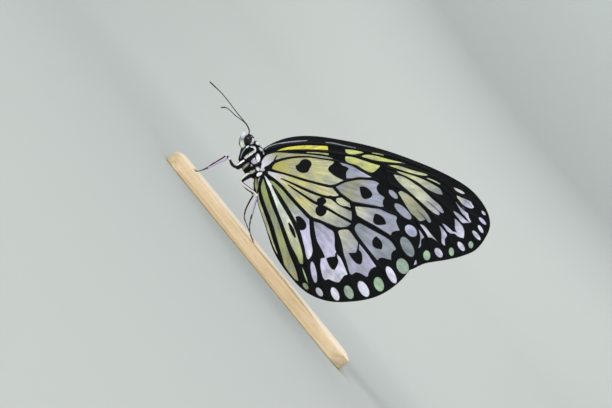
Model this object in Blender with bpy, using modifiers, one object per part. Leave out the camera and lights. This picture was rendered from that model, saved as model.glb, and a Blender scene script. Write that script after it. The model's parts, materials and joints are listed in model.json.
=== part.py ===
"""Paper kite butterfly, Idea leuconoe, at rest with its wings closed, life size, on a plain flat base.

The butterfly is drawn in its own side view: X runs from the head towards the wing tips, Z is up and
its left side faces -Y. An empty then leans the whole side view back, until all four walking feet stand
at one level on the base. The lists of points below are places in that side view, in millimetres.
The model's origin is the centre of the base's underside.
"""
import math

import bmesh
import bpy
from mathutils import Matrix, Vector
from mathutils.geometry import delaunay_2d_cdt

MM = 0.001
GAP = 0.3                         # clearance between neighbouring pieces

# The base, and how the butterfly stands on it
BASE_LENGTH = 80.0
BASE_WIDTH = 36.0
BASE_THICKNESS = 4.0
BASE_CORNER = 7.0
BASE_EDGE = 0.8
LEAN = math.radians(50.7)         # from the side view to the standing pose
FRONT_FOOT = (-19.3, -1.7)        # side view place where the front feet touch the base
FRONT_FOOT_X = -32.0              # where they touch it, along the base

# Wings: a membrane with veins raised on its outer face
MEMBRANE = 0.5
VEIN_HEIGHT = 0.25
VEIN_HALF_WIDTH = 0.45
EDGE_STEP = 2.2
VEIN_STEP = 4.2
FILL_STEP = 5.2
ROOT_SPREAD = 1.2                 # how far the wings open at the body, each side
ROOT_REACH = 20.0                 # distance from the root over which they close
FOREWING_INNER = 0.15             # inner face from the plane between the wings
HINDWING_INNER = FOREWING_INNER + MEMBRANE + VEIN_HEIGHT + GAP
WING_ROOT = (0.5, 0.5)
ABDOMEN_ROOM = 1.0                # how far the hindwings bulge round the abdomen
ABDOMEN_REACH = 6.0

FOREWING_EDGE = [
    (-1.2, 3.2), (2.0, 6.2), (8.0, 8.5), (15.0, 9.0), (25.0, 7.6), (35.0, 5.3), (45.0, 1.9),
    (55.0, -2.4), (62.5, -7.0), (67.0, -12.5), (68.4, -17.5), (67.0, -21.5), (64.0, -25.2),
    (60.0, -27.0), (55.0, -28.2), (49.0, -29.2), (42.5, -31.3), (33.0, -25.8), (17.0, -14.0),
    (2.5, -3.2), (-1.2, -0.8),
]
FOREWING_VEINS = {
    "subcosta": [(1.6, 4.4), (7.0, 6.2), (14.0, 6.7), (22.0, 6.2), (31.0, 5.0), (40.0, 2.5)],
    "radius": [(1.9, 3.2), (6.5, 4.7), (14.0, 4.8), (20.0, 4.3), (25.0, 3.4), (30.0, 2.5), (36.0, 0.7),
               (43.5, 0.3), (49.5, -2.0), (58.0, -7.8), (62.2, -9.8), (66.6, -14.9)],
    "radius_four": [(36.0, 0.7), (42.5, -1.3), (48.5, -3.5), (53.5, -5.8), (57.0, -9.2), (61.0, -12.9),
                    (66.8, -17.6)],
    "median_one": [(37.2, -1.4), (42.5, -3.1), (50.9, -8.5), (57.4, -14.4), (60.8, -18.0), (64.2, -22.4)],
    "cell_end": [(36.0, 0.7), (37.2, -1.4), (38.0, -5.0), (39.5, -9.0), (36.0, -13.0)],
    "median_two": [(38.0, -5.0), (45.9, -9.6), (50.4, -13.3), (53.2, -17.0), (56.2, -20.5),
                   (58.3, -26.1)],
    "median_three": [(39.5, -9.0), (43.0, -12.9), (46.5, -17.2), (48.9, -21.0), (51.0, -27.3)],
    "cubitus": [(2.9, 0.4), (12.0, -2.4), (24.0, -7.2), (36.0, -13.0), (42.0, -20.0), (45.4, -28.6)],
    "cubitus_two": [(24.0, -7.2), (33.0, -14.8), (38.5, -21.6), (41.6, -29.4)],
    "anal": [(2.6, -1.6), (14.0, -9.6), (28.0, -19.8), (38.5, -28.0)],
}
HINDWING_EDGE = [
    (-1.6, -1.4), (-0.4, 0.9), (1.2, 3.3), (4.5, 4.5), (12.0, 4.0), (20.0, 2.6), (28.0, 0.1),
    (36.0, -4.7), (42.0, -10.4), (46.0, -16.9), (47.4, -21.8), (46.0, -26.6), (44.0, -31.4),
    (39.6, -36.0), (34.0, -39.2), (27.0, -40.6), (19.5, -40.4), (13.0, -37.6), (7.6, -32.0),
    (3.6, -25.7), (1.0, -18.0), (-1.1, -11.6), (-1.6, -9.0), (-1.0, -5.2), (-1.6, -3.2),
]
HINDWING_VEINS = {
    "subcosta": [(1.3, 0.0), (3.6, 1.1), (8.0, 2.4), (14.0, 2.6), (20.0, 1.7)],
    "humeral": [(3.6, 1.1), (4.5, 2.9)],
    "radius": [(2.4, -1.1), (8.0, -2.5), (15.0, -4.5), (21.6, -5.9), (27.0, -4.0), (34.0, -4.2)],
    "cell_top": [(21.6, -5.9), (24.0, -8.9), (27.2, -11.2)],
    "median_one": [(27.2, -11.2), (34.0, -12.4), (39.5, -14.4), (45.6, -17.9)],
    "cell_end": [(27.2, -11.2), (28.0, -15.6), (26.2, -18.1), (22.2, -18.5), (15.0, -15.6)],
    "median_two": [(28.0, -15.6), (33.2, -17.9), (38.0, -20.9), (41.0, -24.4), (44.4, -28.3)],
    "median_three": [(26.2, -18.1), (30.6, -23.6), (36.0, -30.5), (39.8, -35.0)],
    "cubitus_one": [(22.2, -18.5), (23.2, -24.5), (26.6, -32.5), (28.6, -39.8)],
    "cubitus_two": [(15.0, -15.6), (15.6, -22.5), (17.4, -31.0), (19.6, -39.4)],
    "cubitus": [(1.9, -2.4), (6.5, -6.4), (11.0, -11.4), (15.0, -15.6)],
    "fold": [(3.0, -5.8), (7.4, -13.4), (11.0, -20.6), (13.4, -30.0), (14.8, -38.0)],
    "anal_two": [(0.9, -4.4), (3.4, -13.0), (7.2, -22.5), (11.2, -33.6)],
    "anal_three": [(-0.2, -7.0), (1.0, -13.6), (3.8, -22.8), (7.2, -30.6)],
}

# Body: stations along each form, as (x, z, half height, half width) of its cross sections
THORAX = [
    (-3.25, 6.9, 1.1, 0.9), (-3.35, 6.15, 2.15, 1.6), (-3.35, 5.0, 3.25, 2.45), (-3.0, 3.3, 3.95, 3.05),
    (-2.5, 1.5, 4.2, 3.35), (-1.95, -0.3, 3.95, 3.3), (-1.4, -2.0, 3.1, 2.95), (-1.0, -3.3, 1.9, 2.0),
]
ABDOMEN = [
    (-0.9, -3.2, 0.8, 0.7), (-0.9, -4.3, 1.7, 1.4), (-0.75, -5.9, 2.1, 1.65), (-0.05, -8.2, 2.1, 1.65),
    (1.3, -11.0, 1.95, 1.55), (3.0, -14.2, 1.8, 1.45), (4.9, -17.6, 1.65, 1.35),
    (6.8, -21.0, 1.5, 1.2), (8.6, -24.2, 1.25, 1.0), (10.1, -26.9, 0.85, 0.7), (10.9, -28.3, 0.35, 0.3),
]
ABDOMEN_RINGS = 8                 # segments of the abdomen
ABDOMEN_WAIST = 0.10              # how much each joint between them is drawn in
HEAD_CENTRE = (-3.85, 7.8)
HEAD_HALF = (1.6, 1.95, 1.8)      # length, width and height, halved
EYE_CENTRE = (-4.15, 7.75)
EYE_OFFSET = 1.4
EYE_RADIUS = 1.3
EYE_DEPTH = 0.8

# Limbs: spines as (x, distance from the middle plane, z, radius)
PALP = [(-4.9, 1.0, 6.1, 0.55), (-5.5, 1.0, 5.85, 0.8), (-6.0, 1.0, 6.8, 0.9), (-6.1, 1.0, 7.9, 0.85),
        (-5.8, 1.0, 9.0, 0.65), (-5.35, 1.0, 10.1, 0.3)]
PALP_FLATNESS = 0.5
COIL_CENTRE = (-5.75, 6.2)
COIL_RADII = (0.9, 0.28)
COIL_TURNS = 1.2
COIL_START = math.radians(-45.0)
COIL_TUBE = 0.25
ANTENNA_RADIUS = 0.27
ANTENNA_LEFT = [(-4.0, 0.5, 9.0), (-3.85, 0.8, 10.6), (-4.6, 2.1, 12.3), (-5.7, 3.8, 13.4),
                (-7.8, 7.4, 14.9), (-9.2, 10.4, 16.2), (-10.4, 13.0, 17.2), (-12.1, 15.6, 17.3)]
ANTENNA_RIGHT = [(-4.0, 0.5, 9.0), (-3.8, 0.7, 10.7), (-4.4, 1.1, 12.2), (-5.3, 1.5, 13.4),
                 (-7.8, 2.4, 16.4), (-10.2, 3.3, 19.6), (-12.0, 4.0, 21.8), (-15.7, 5.2, 25.3)]
ANTENNA_CLUB = 0.42
FORELEG = [(-4.1, 1.2, 5.9, 0.42), (-5.2, 1.8, 4.9, 0.62), (-6.2, 2.0, 3.2, 0.6), (-6.85, 1.9, 1.5, 0.3)]
MIDLEG_COXA = [(-4.4, 1.5, 2.1, 0.95), (-6.2, 2.0, 0.6, 0.9), (-7.4, 2.4, -0.5, 0.7),
               (-8.1, 3.0, -0.4, 0.45)]
MIDLEG_LEFT = MIDLEG_COXA + [
    (-8.9, 4.0, 0.5, 0.44), (-9.7, 5.4, 2.1, 0.38), (-11.0, 5.6, 1.65, 0.33), (-14.0, 5.2, 0.25, 0.28),
    (-17.0, 4.8, -1.15, 0.27), (-19.35, 4.6, -1.72, 0.3), (-20.4, 4.5, -1.9, 0.3)]
MIDLEG_RIGHT = MIDLEG_COXA + [
    (-9.2, 4.2, 0.9, 0.44), (-10.9, 5.5, 3.2, 0.38), (-12.0, 5.5, 2.6, 0.33), (-15.0, 5.0, 0.8, 0.28),
    (-17.4, 4.7, -0.7, 0.27), (-19.2, 4.6, -1.45, 0.3), (-20.3, 4.5, -1.8, 0.3)]
HINDLEG_COXA = [(-2.2, 1.3, -1.9, 0.95), (-4.4, 2.0, -3.0, 0.9), (-5.9, 2.7, -4.1, 0.65),
                (-6.2, 3.1, -4.8, 0.45)]
HINDLEG_LEFT = HINDLEG_COXA + [
    (-4.2, 4.1, -6.5, 0.44), (-1.5, 5.2, -8.7, 0.38), (-1.9, 5.4, -11.2, 0.31), (-2.8, 5.4, -14.4, 0.28),
    (-3.5, 5.2, -17.4, 0.28), (-3.45, 5.1, -19.6, 0.28), (-2.95, 5.0, -21.5, 0.3), (-2.6, 5.0, -22.4, 0.3)]
HINDLEG_RIGHT = HINDLEG_COXA + [
    (-4.7, 4.0, -6.7, 0.44), (-2.9, 5.2, -8.4, 0.38), (-3.9, 5.3, -10.6, 0.31), (-5.1, 5.3, -13.2, 0.28),
    (-5.45, 5.2, -15.6, 0.28), (-4.6, 5.1, -18.0, 0.28), (-3.5, 5.0, -20.8, 0.3), (-3.0, 5.0, -22.2, 0.3)]
LIMB_STEP = 1.2

COLOURS = {                       # colour, roughness
    "pale_wing": ((0.78, 0.77, 0.60), 0.6),
    "black_body": ((0.03, 0.03, 0.035), 0.7),
    "pale_palp": ((0.80, 0.82, 0.80), 0.7),
    "black_eye": ((0.01, 0.01, 0.012), 0.15),
    "dark_limb": ((0.06, 0.05, 0.055), 0.5),
    "light_wood": ((0.62, 0.47, 0.30), 0.55),
}


def clear_scene():
    for old in list(bpy.data.objects):
        bpy.data.objects.remove(old, do_unlink=True)


def make_materials():
    made = {}
    for name, (colour, roughness) in COLOURS.items():
        material = bpy.data.materials.new(name)
        material.use_nodes = True
        shader = material.node_tree.nodes["Principled BSDF"]
        shader.inputs["Base Color"].default_value = (*colour, 1.0)
        shader.inputs["Roughness"].default_value = roughness
        shader.inputs["Metallic"].default_value = 0.0
        made[name] = material
    return made


def add_object(name, data, collection, parent=None):
    made = bpy.data.objects.new(name, data)
    collection.objects.link(made)
    made.parent = parent
    return made


def mesh_from(bm, name):
    """Scales a bmesh drawn in millimetres to metres and makes it a mesh."""
    bmesh.ops.scale(bm, vec=(MM, MM, MM), verts=bm.verts)
    mesh = bpy.data.meshes.new(name)
    bm.to_mesh(mesh)
    bm.free()
    mesh.shade_smooth()
    mesh.set_sharp_from_angle(angle=math.radians(40))
    return mesh


def smooth_line(points, step, closed=False):
    """Evenly spaced points along the smooth curve through a few given ones."""
    points = [Vector(point) for point in points]
    count = len(points)

    def at(index):
        return points[index % count] if closed else points[min(max(index, 0), count - 1)]

    dense = []
    for i in range(count if closed else count - 1):
        start, end = at(i), at(i + 1)
        reach = (end - start).length / 3
        leave = (end - at(i - 1)).normalized() * reach
        arrive = (at(i + 2) - start).normalized() * reach
        for k in range(16):
            part = k / 16
            rest = 1.0 - part
            dense.append(start * rest ** 3 + (start + leave) * 3 * rest * rest * part
                         + (end - arrive) * 3 * rest * part * part + end * part ** 3)
    dense.append(at(count) if closed else at(count - 1))
    lengths = [0.0]
    for before, after in zip(dense, dense[1:]):
        lengths.append(lengths[-1] + (after - before).length)
    pieces = max(2, round(lengths[-1] / step))
    even, k = [], 0
    for i in range(pieces if closed else pieces + 1):
        target = lengths[-1] * i / pieces
        while k < len(dense) - 2 and lengths[k + 1] < target:
            k += 1
        part = (target - lengths[k]) / max(lengths[k + 1] - lengths[k], 1e-9)
        even.append(dense[k].lerp(dense[k + 1], min(part, 1.0)))
    return even


def distance_to_line(point, line):
    """Shortest distance from a point to a chain of points."""
    nearest = math.inf
    for start, end in zip(line, line[1:]):
        along = end - start
        part = min(max((point - start).dot(along) / along.length_squared, 0.0), 1.0)
        nearest = min(nearest, (point - start - along * part).length)
    return nearest


def inside(point, loop):
    """Whether a point of the side view lies within a closed loop."""
    crossings = 0
    for start, end in zip(loop, loop[1:] + loop[:1]):
        if (start.y > point.y) != (end.y > point.y):
            across = start.x + (point.y - start.y) * (end.x - start.x) / (end.y - start.y)
            crossings += point.x < across
    return crossings % 2 == 1


def ease(part):
    """Falls smoothly from 1 at zero to 0 at one."""
    part = min(max(part, 0.0), 1.0)
    return 1.0 - part * part * (3.0 - 2.0 * part)


def forewing_inner(point):
    reach = (point - Vector(WING_ROOT)).length
    return FOREWING_INNER + ROOT_SPREAD * ease(reach / ROOT_REACH)


ABDOMEN_LINE = [Vector(station[:2]) for station in ABDOMEN]


def hindwing_inner(point):
    """Like the forewing's, one layer further out and bulged round the abdomen."""
    reach = (point - Vector(WING_ROOT)).length
    opened = ROOT_SPREAD * ease(reach / ROOT_REACH)
    beside = ABDOMEN_ROOM * ease(distance_to_line(point, ABDOMEN_LINE) / ABDOMEN_REACH)
    return HINDWING_INNER + max(opened, beside) + 0.25 * min(opened, beside)


def vein_sides(line):
    """The two foot lines of a raised vein, which stop short of its ends."""
    sides = []
    for hand in (-1.0, 1.0):
        foot = []
        for before, here, after in zip(line, line[1:], line[2:]):
            along = (after - before).normalized()
            foot.append(here + Vector((-along.y, along.x)) * VEIN_HALF_WIDTH * hand)
        sides.append(foot)
    return sides


def wing_plan(edge_points, veins):
    """Splits a wing's side view into triangles that follow its edge and its veins."""
    loop = smooth_line(edge_points, EDGE_STEP, closed=True)
    ring = loop + loop[:1]
    centres = [smooth_line(points, VEIN_STEP) for points in veins.values()]
    chains = list(centres)
    for line in centres:
        for foot in vein_sides(line):
            kept = [point for point in foot if distance_to_line(point, ring) > VEIN_HALF_WIDTH]
            if len(kept) > 1:
                chains.append(kept)
    points = list(loop)
    edges = [(i, (i + 1) % len(loop)) for i in range(len(loop))]
    for chain in chains:
        first = len(points)
        points += chain
        edges += [(first + i, first + i + 1) for i in range(len(chain) - 1)]
    low_x, low_y = min(p.x for p in loop), min(p.y for p in loop)
    columns = int((max(p.x for p in loop) - low_x) / FILL_STEP) + 1
    rows = int((max(p.y for p in loop) - low_y) / (FILL_STEP * 0.87)) + 1
    for row in range(rows + 1):
        for column in range(columns + 1):
            place = Vector((low_x + (column + 0.5 * (row % 2)) * FILL_STEP, low_y + row * FILL_STEP * 0.87))
            if not inside(place, loop) or distance_to_line(place, ring) < FILL_STEP * 0.45:
                continue
            if min(distance_to_line(place, line) for line in centres) > FILL_STEP * 0.45:
                points.append(place)
    flat_points, _, faces, _, _, _ = delaunay_2d_cdt(points, edges, [list(range(len(loop)))], 1, 1e-5)
    return flat_points, faces, centres, ring


def make_wing(name, side, edge_points, veins, inner, collection, parent, material):
    """One wing: an open sheet on the inner face, thickened outwards, most along the veins."""
    flat_points, faces, centres, ring = wing_plan(edge_points, veins)
    bm = bmesh.new()
    raised = bm.verts.layers.deform.new()
    for point in flat_points:
        vert = bm.verts.new((point.x, side * inner(point), point.y))
        on_vein = min(distance_to_line(point, line) for line in centres) < 0.02
        if on_vein and distance_to_line(point, ring) > VEIN_HALF_WIDTH:
            vert[raised][0] = 1.0
    bm.verts.ensure_lookup_table()
    for face in faces:
        bm.faces.new([bm.verts[i] for i in (face if side > 0 else reversed(face))])
    bmesh.ops.remove_doubles(bm, verts=bm.verts, dist=0.12)
    loose = [vert for vert in bm.verts if not vert.link_faces]
    bmesh.ops.delete(bm, geom=loose, context="VERTS")
    bmesh.ops.recalc_face_normals(bm, faces=bm.faces)
    if sum(face.normal.y * side for face in bm.faces) < 0:
        bmesh.ops.reverse_faces(bm, faces=bm.faces)
    wing = add_object(name, mesh_from(bm, name), collection, parent)
    wing.vertex_groups.new(name="raised_veins")
    wing.data.materials.append(material)
    wall = wing.modifiers.new("membrane", "SOLIDIFY")
    wall.thickness = (MEMBRANE + VEIN_HEIGHT) * MM
    wall.offset = 1.0
    wall.vertex_group = "raised_veins"
    wall.thickness_vertex_group = MEMBRANE / (MEMBRANE + VEIN_HEIGHT)
    apply_modifiers(wing)
    return wing


def apply_modifiers(made):
    """Replaces an object's mesh by the one its modifiers make."""
    bpy.context.view_layer.update()
    evaluated = made.evaluated_get(bpy.context.evaluated_depsgraph_get())
    mesh = bpy.data.meshes.new_from_object(evaluated)
    old = made.data
    made.modifiers.clear()
    made.data = mesh
    bpy.data.meshes.remove(old)
    mesh.name = made.name


def keep_largest(made):
    """Drops the scraps that a cut leaves beside the main body."""
    bm = bmesh.new()
    bm.from_mesh(made.data)
    bmesh.ops.remove_doubles(bm, verts=bm.verts, dist=0.0005 * MM)
    bmesh.ops.dissolve_degenerate(bm, edges=bm.edges, dist=0.0005 * MM)
    unseen = set(bm.verts)
    bodies = []
    while unseen:
        front = [unseen.pop()]
        body = set(front)
        while front:
            for edge in front.pop().link_edges:
                for vert in edge.verts:
                    if vert in unseen:
                        unseen.discard(vert)
                        body.add(vert)
                        front.append(vert)
        bodies.append(body)
    bodies.sort(key=len, reverse=True)
    for body in bodies[1:]:
        bmesh.ops.delete(bm, geom=list(body), context="VERTS")
    bmesh.ops.triangulate(bm, faces=bm.faces)
    bm.to_mesh(made.data)
    bm.free()


def cut_clear(made, neighbour):
    """Cuts a piece back from its neighbour, face to face with the gap between them."""
    cutter_mesh = neighbour.data.copy()
    bm = bmesh.new()
    bm.from_mesh(cutter_mesh)
    bm.normal_update()
    for vert in bm.verts:
        vert.co += vert.normal * GAP * MM
    bm.to_mesh(cutter_mesh)
    bm.free()
    cutter = add_object("cutter", cutter_mesh, made.users_collection[0], made.parent)
    cut = made.modifiers.new("clear", "BOOLEAN")
    cut.operation = "DIFFERENCE"
    cut.solver = "EXACT"
    cut.object = cutter
    apply_modifiers(made)
    bpy.data.objects.remove(cutter, do_unlink=True)
    bpy.data.meshes.remove(cutter_mesh)
    keep_largest(made)


def make_form(name, stations, sides, steps, rings, collection, parent, material):
    """A body form lofted through elliptical cross sections, with drawn-in rings if it has segments."""
    spine = [(x, z) for x, z, _, _ in stations]
    along = []
    for i in range(len(stations)):
        before, after = spine[max(i - 1, 0)], spine[min(i + 1, len(spine) - 1)]
        along.append(Vector((after[0] - before[0], after[1] - before[1])).normalized())
    bm = bmesh.new()
    last = (len(stations) - 1) * steps
    loops = []
    for k in range(last + 1):
        i = min(k // steps, len(stations) - 2)
        part = k / steps - i
        blend = part * part * (3.0 - 2.0 * part) if 0 < i < len(stations) - 2 else part
        x, z = (Vector(spine[i]).lerp(Vector(spine[i + 1]), part))
        tall = stations[i][2] + (stations[i + 1][2] - stations[i][2]) * blend
        wide = stations[i][3] + (stations[i + 1][3] - stations[i][3]) * blend
        if rings:
            pinch = 1.0 - ABDOMEN_WAIST * (0.5 + 0.5 * math.cos(2 * math.pi * rings * k / last)) ** 2
            tall, wide = tall * pinch, wide * pinch
        heading = along[i].lerp(along[i + 1], part).normalized()
        frame = Matrix(((heading.x, -heading.y, 0, x), (0, 0, 1, 0), (heading.y, heading.x, 0, z), (0, 0, 0, 1)))
        size = Matrix.Diagonal((1.0, tall, wide, 1.0))
        turn = Matrix.Rotation(math.pi / 2, 4, "Y")
        made = bmesh.ops.create_circle(bm, segments=sides, radius=1.0, matrix=frame @ size @ turn)
        loops.append(list({edge for vert in made["verts"] for edge in vert.link_edges}))
    for first, second in zip(loops, loops[1:]):
        bmesh.ops.bridge_loops(bm, edges=first + second)
    for end in (loops[0], loops[-1]):
        cap = bmesh.ops.contextual_create(bm, geom=end)["faces"]
        bmesh.ops.poke(bm, faces=cap)
    bmesh.ops.recalc_face_normals(bm, faces=bm.faces)
    bmesh.ops.triangulate(bm, faces=bm.faces)
    form = add_object(name, mesh_from(bm, name), collection, parent)
    form.data.materials.append(material)
    return form


def make_ball(name, centre, half_sizes, segments, collection, parent, material):
    bm = bmesh.new()
    place = Matrix.Translation(centre) @ Matrix.Diagonal((*half_sizes, 1.0))
    bmesh.ops.create_uvsphere(bm, u_segments=segments, v_segments=segments * 2 // 3, radius=1.0,
                              matrix=place)
    ball = add_object(name, mesh_from(bm, name), collection, parent)
    ball.data.materials.append(material)
    return ball


def make_limb(name, spine, step, collection, parent, material, flatness=1.0):
    """A round limb along a smooth spine of (x, y, z, radius), made a closed mesh."""
    even = smooth_line(spine, step)
    curve = bpy.data.curves.new(name, "CURVE")
    curve.dimensions = "3D"
    curve.bevel_depth = MM
    curve.bevel_resolution = 2
    curve.use_fill_caps = True
    thread = curve.splines.new("POLY")
    thread.points.add(len(even) - 1)
    for spot, place in zip(thread.points, even):
        spot.co = (place[0] * MM, place[1] * MM, place[2] * MM, 1.0)
        spot.radius = place[3]
    tube = add_object(name, curve, collection, parent)
    bpy.context.view_layer.update()
    mesh = bpy.data.meshes.new_from_object(tube.evaluated_get(bpy.context.evaluated_depsgraph_get()))
    bpy.data.objects.remove(tube, do_unlink=True)
    bm = bmesh.new()
    bm.from_mesh(mesh)
    bmesh.ops.remove_doubles(bm, verts=bm.verts, dist=0.01 * MM)
    if flatness != 1.0:
        middle = spine[1][1] * MM
        for vert in bm.verts:
            vert.co.y = middle + (vert.co.y - middle) * flatness
    bmesh.ops.recalc_face_normals(bm, faces=bm.faces)
    bmesh.ops.triangulate(bm, faces=bm.faces)
    bm.to_mesh(mesh)
    bm.free()
    mesh.shade_smooth()
    limb = add_object(name, mesh, collection, parent)
    limb.data.materials.clear()
    limb.data.materials.append(material)
    return limb


def mirrored(spine, side):
    """The spine on one side of the middle plane: -1 is the left, +1 the right."""
    return [(x, side * y, z, *rest) for x, y, z, *rest in spine]


def trim_foot(leg):
    """Cuts a leg off flat at the level where it stands, one gap above the base."""
    down = Vector((-math.sin(LEAN), 0.0, -math.cos(LEAN)))
    level = Vector((FRONT_FOOT[0], 0.0, FRONT_FOOT[1])) * MM
    bm = bmesh.new()
    bm.from_mesh(leg.data)
    geometry = list(bm.verts) + list(bm.edges) + list(bm.faces)
    cut = bmesh.ops.bisect_plane(bm, geom=geometry, plane_co=level, plane_no=down, clear_outer=True)
    rim = [item for item in cut["geom_cut"] if isinstance(item, bmesh.types.BMEdge)]
    bmesh.ops.contextual_create(bm, geom=rim)
    bmesh.ops.recalc_face_normals(bm, faces=bm.faces)
    bmesh.ops.triangulate(bm, faces=bm.faces)
    bm.to_mesh(leg.data)
    bm.free()


def antenna_spine(line):
    """Adds the radii: a thin shaft that swells to a slender club and a rounded tip."""
    even = smooth_line(line, LIMB_STEP)
    spine = []
    for i, place in enumerate(even):
        part = i / (len(even) - 1)
        club = (ANTENNA_CLUB - ANTENNA_RADIUS) * (1.0 - ease((part - 0.78) / 0.14))
        spine.append((*place, ANTENNA_RADIUS + club))
    tip = spine[-1]
    spine[-1] = (*tip[:3], ANTENNA_RADIUS * 0.8)
    return spine


def coil_spine():
    """The coiled tongue: a flat spiral between the palps."""
    count = 22
    spine = []
    for i in range(count + 1):
        part = i / count
        angle = COIL_START + part * COIL_TURNS * 2 * math.pi
        radius = COIL_RADII[0] + (COIL_RADII[1] - COIL_RADII[0]) * part
        spine.append((COIL_CENTRE[0] + radius * math.cos(angle), 0.0,
                      COIL_CENTRE[1] - radius * math.sin(angle), COIL_TUBE))
    return spine


def make_base(collection, material):
    bm = bmesh.new()
    size = Matrix.Diagonal((BASE_LENGTH, BASE_WIDTH, BASE_THICKNESS, 1.0))
    bmesh.ops.create_cube(bm, size=1.0, matrix=Matrix.Translation((0, 0, BASE_THICKNESS / 2)) @ size)
    corners = [edge for edge in bm.edges if abs(edge.verts[0].co.z - edge.verts[1].co.z) > 1.0]
    bmesh.ops.bevel(bm, geom=corners, offset=BASE_CORNER, segments=6, affect="EDGES", profile=0.5)
    top = [edge for edge in bm.edges if all(vert.co.z > BASE_THICKNESS - 0.01 for vert in edge.verts)]
    bmesh.ops.bevel(bm, geom=top, offset=BASE_EDGE, segments=2, affect="EDGES", profile=0.5)
    base = add_object("stand_base", mesh_from(bm, "stand_base"), collection)
    base.data.materials.append(material)
    return base


def place_butterfly(collection):
    """The empty that leans the side view into the standing pose."""
    stand = bpy.data.objects.new("butterfly_place", None)
    collection.objects.link(stand)
    turn = Matrix.Rotation(-LEAN, 4, "Y")
    foot = turn @ Vector((FRONT_FOOT[0], 0.0, FRONT_FOOT[1]))
    target = Vector((FRONT_FOOT_X, 0.0, BASE_THICKNESS + GAP))
    stand.matrix_world = Matrix.Translation((target - foot) * MM) @ turn
    return stand


def main():
    clear_scene()
    parts = bpy.data.collections.new("paper_kite_butterfly")
    bpy.context.scene.collection.children.link(parts)
    materials = make_materials()
    place = place_butterfly(parts)
    make_base(parts, materials["light_wood"])

    thorax = make_form("thorax", THORAX, 22, 2, 0, parts, place, materials["black_body"])
    abdomen = make_form("abdomen", ABDOMEN, 14, 3, ABDOMEN_RINGS, parts, place, materials["black_body"])
    cut_clear(abdomen, thorax)
    head_centre = (HEAD_CENTRE[0], 0.0, HEAD_CENTRE[1])
    head = make_ball("head", head_centre, HEAD_HALF, 24, parts, place, materials["black_body"])
    cut_clear(head, thorax)

    tongue = make_limb("proboscis", coil_spine(), 0.45, parts, place, materials["dark_limb"])
    for side, hand in ((-1, "left"), (1, "right")):
        eye_centre = (EYE_CENTRE[0], side * EYE_OFFSET, EYE_CENTRE[1])
        eye = make_ball("eye_" + hand, eye_centre, (EYE_RADIUS, EYE_DEPTH, EYE_RADIUS), 16, parts,
                        place, materials["black_eye"])
        cut_clear(eye, thorax)
        cut_clear(head, eye)
        palp = make_limb("palp_" + hand, mirrored(PALP, side), 0.6, parts, place,
                         materials["pale_palp"], PALP_FLATNESS)
        cut_clear(palp, eye)
        cut_clear(palp, head)
        cut_clear(palp, thorax)
        line = ANTENNA_LEFT if side < 0 else ANTENNA_RIGHT
        antenna = make_limb("antenna_" + hand, antenna_spine(mirrored(line, side)), LIMB_STEP, parts,
                            place, materials["dark_limb"])
        cut_clear(antenna, head)
        foreleg = make_limb("foreleg_" + hand, mirrored(FORELEG, side), 0.8, parts, place,
                            materials["dark_limb"])
        cut_clear(foreleg, thorax)
        for name, left, right in (("midleg_", MIDLEG_LEFT, MIDLEG_RIGHT),
                                  ("hindleg_", HINDLEG_LEFT, HINDLEG_RIGHT)):
            spine = mirrored(left if side < 0 else right, side)
            leg = make_limb(name + hand, spine, LIMB_STEP, parts, place, materials["dark_limb"])
            trim_foot(leg)
            cut_clear(leg, thorax)
        forewing = make_wing("forewing_" + hand, side, FOREWING_EDGE, FOREWING_VEINS, forewing_inner,
                             parts, place, materials["pale_wing"])
        cut_clear(forewing, thorax)
        hindwing = make_wing("hindwing_" + hand, side, HINDWING_EDGE, HINDWING_VEINS, hindwing_inner,
                             parts, place, materials["pale_wing"])
        cut_clear(hindwing, thorax)
    cut_clear(tongue, head)
    cut_clear(tongue, thorax)


main()
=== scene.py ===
# %% [markdown]
# A paper kite butterfly, wings closed, life size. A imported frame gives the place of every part, and
# this script dresses it: it draws wings with their black and white cells, one seamless body skin with
# a short coat of scales, legs with spines and claws, and a pale wooden base.
# Everything is drawn in the butterfly's own side view, in millimetres: x runs from the head towards
# the wing tips, z is up and the left side faces -y. One matrix then leans it back to where it stands.

# %% Load the frame
import json
import math

import bmesh
import bpy
import numpy as np
from mathutils import Matrix, Vector

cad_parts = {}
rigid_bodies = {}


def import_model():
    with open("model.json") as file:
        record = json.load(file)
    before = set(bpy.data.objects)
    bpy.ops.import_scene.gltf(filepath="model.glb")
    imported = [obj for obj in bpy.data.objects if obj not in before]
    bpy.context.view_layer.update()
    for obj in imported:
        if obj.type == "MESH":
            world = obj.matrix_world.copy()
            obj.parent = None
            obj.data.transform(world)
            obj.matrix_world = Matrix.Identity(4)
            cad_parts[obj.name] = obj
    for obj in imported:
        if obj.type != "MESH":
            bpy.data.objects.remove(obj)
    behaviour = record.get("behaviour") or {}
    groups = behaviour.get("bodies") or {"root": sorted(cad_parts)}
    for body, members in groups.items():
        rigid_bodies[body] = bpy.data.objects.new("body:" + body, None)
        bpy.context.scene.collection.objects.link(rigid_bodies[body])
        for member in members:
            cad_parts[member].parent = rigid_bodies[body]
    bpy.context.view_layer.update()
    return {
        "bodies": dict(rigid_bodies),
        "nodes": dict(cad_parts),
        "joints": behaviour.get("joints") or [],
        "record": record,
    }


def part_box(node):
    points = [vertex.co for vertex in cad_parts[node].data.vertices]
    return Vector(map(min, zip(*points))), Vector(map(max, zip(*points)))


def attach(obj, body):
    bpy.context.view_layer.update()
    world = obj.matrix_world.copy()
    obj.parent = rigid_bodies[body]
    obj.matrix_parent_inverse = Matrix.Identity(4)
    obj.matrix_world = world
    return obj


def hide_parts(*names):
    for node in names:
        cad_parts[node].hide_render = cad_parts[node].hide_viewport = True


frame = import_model()
print("nodes in the frame:", len(frame["nodes"]))

# %% [markdown]
# The side view is easier to draw in than the standing pose, because in it a vein or a leg has the
# same numbers that a ruler laid on a side view picture would give. The lean is the angle that sets
# all four walking feet at one level, and the front feet fix where the whole butterfly stands.

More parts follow.
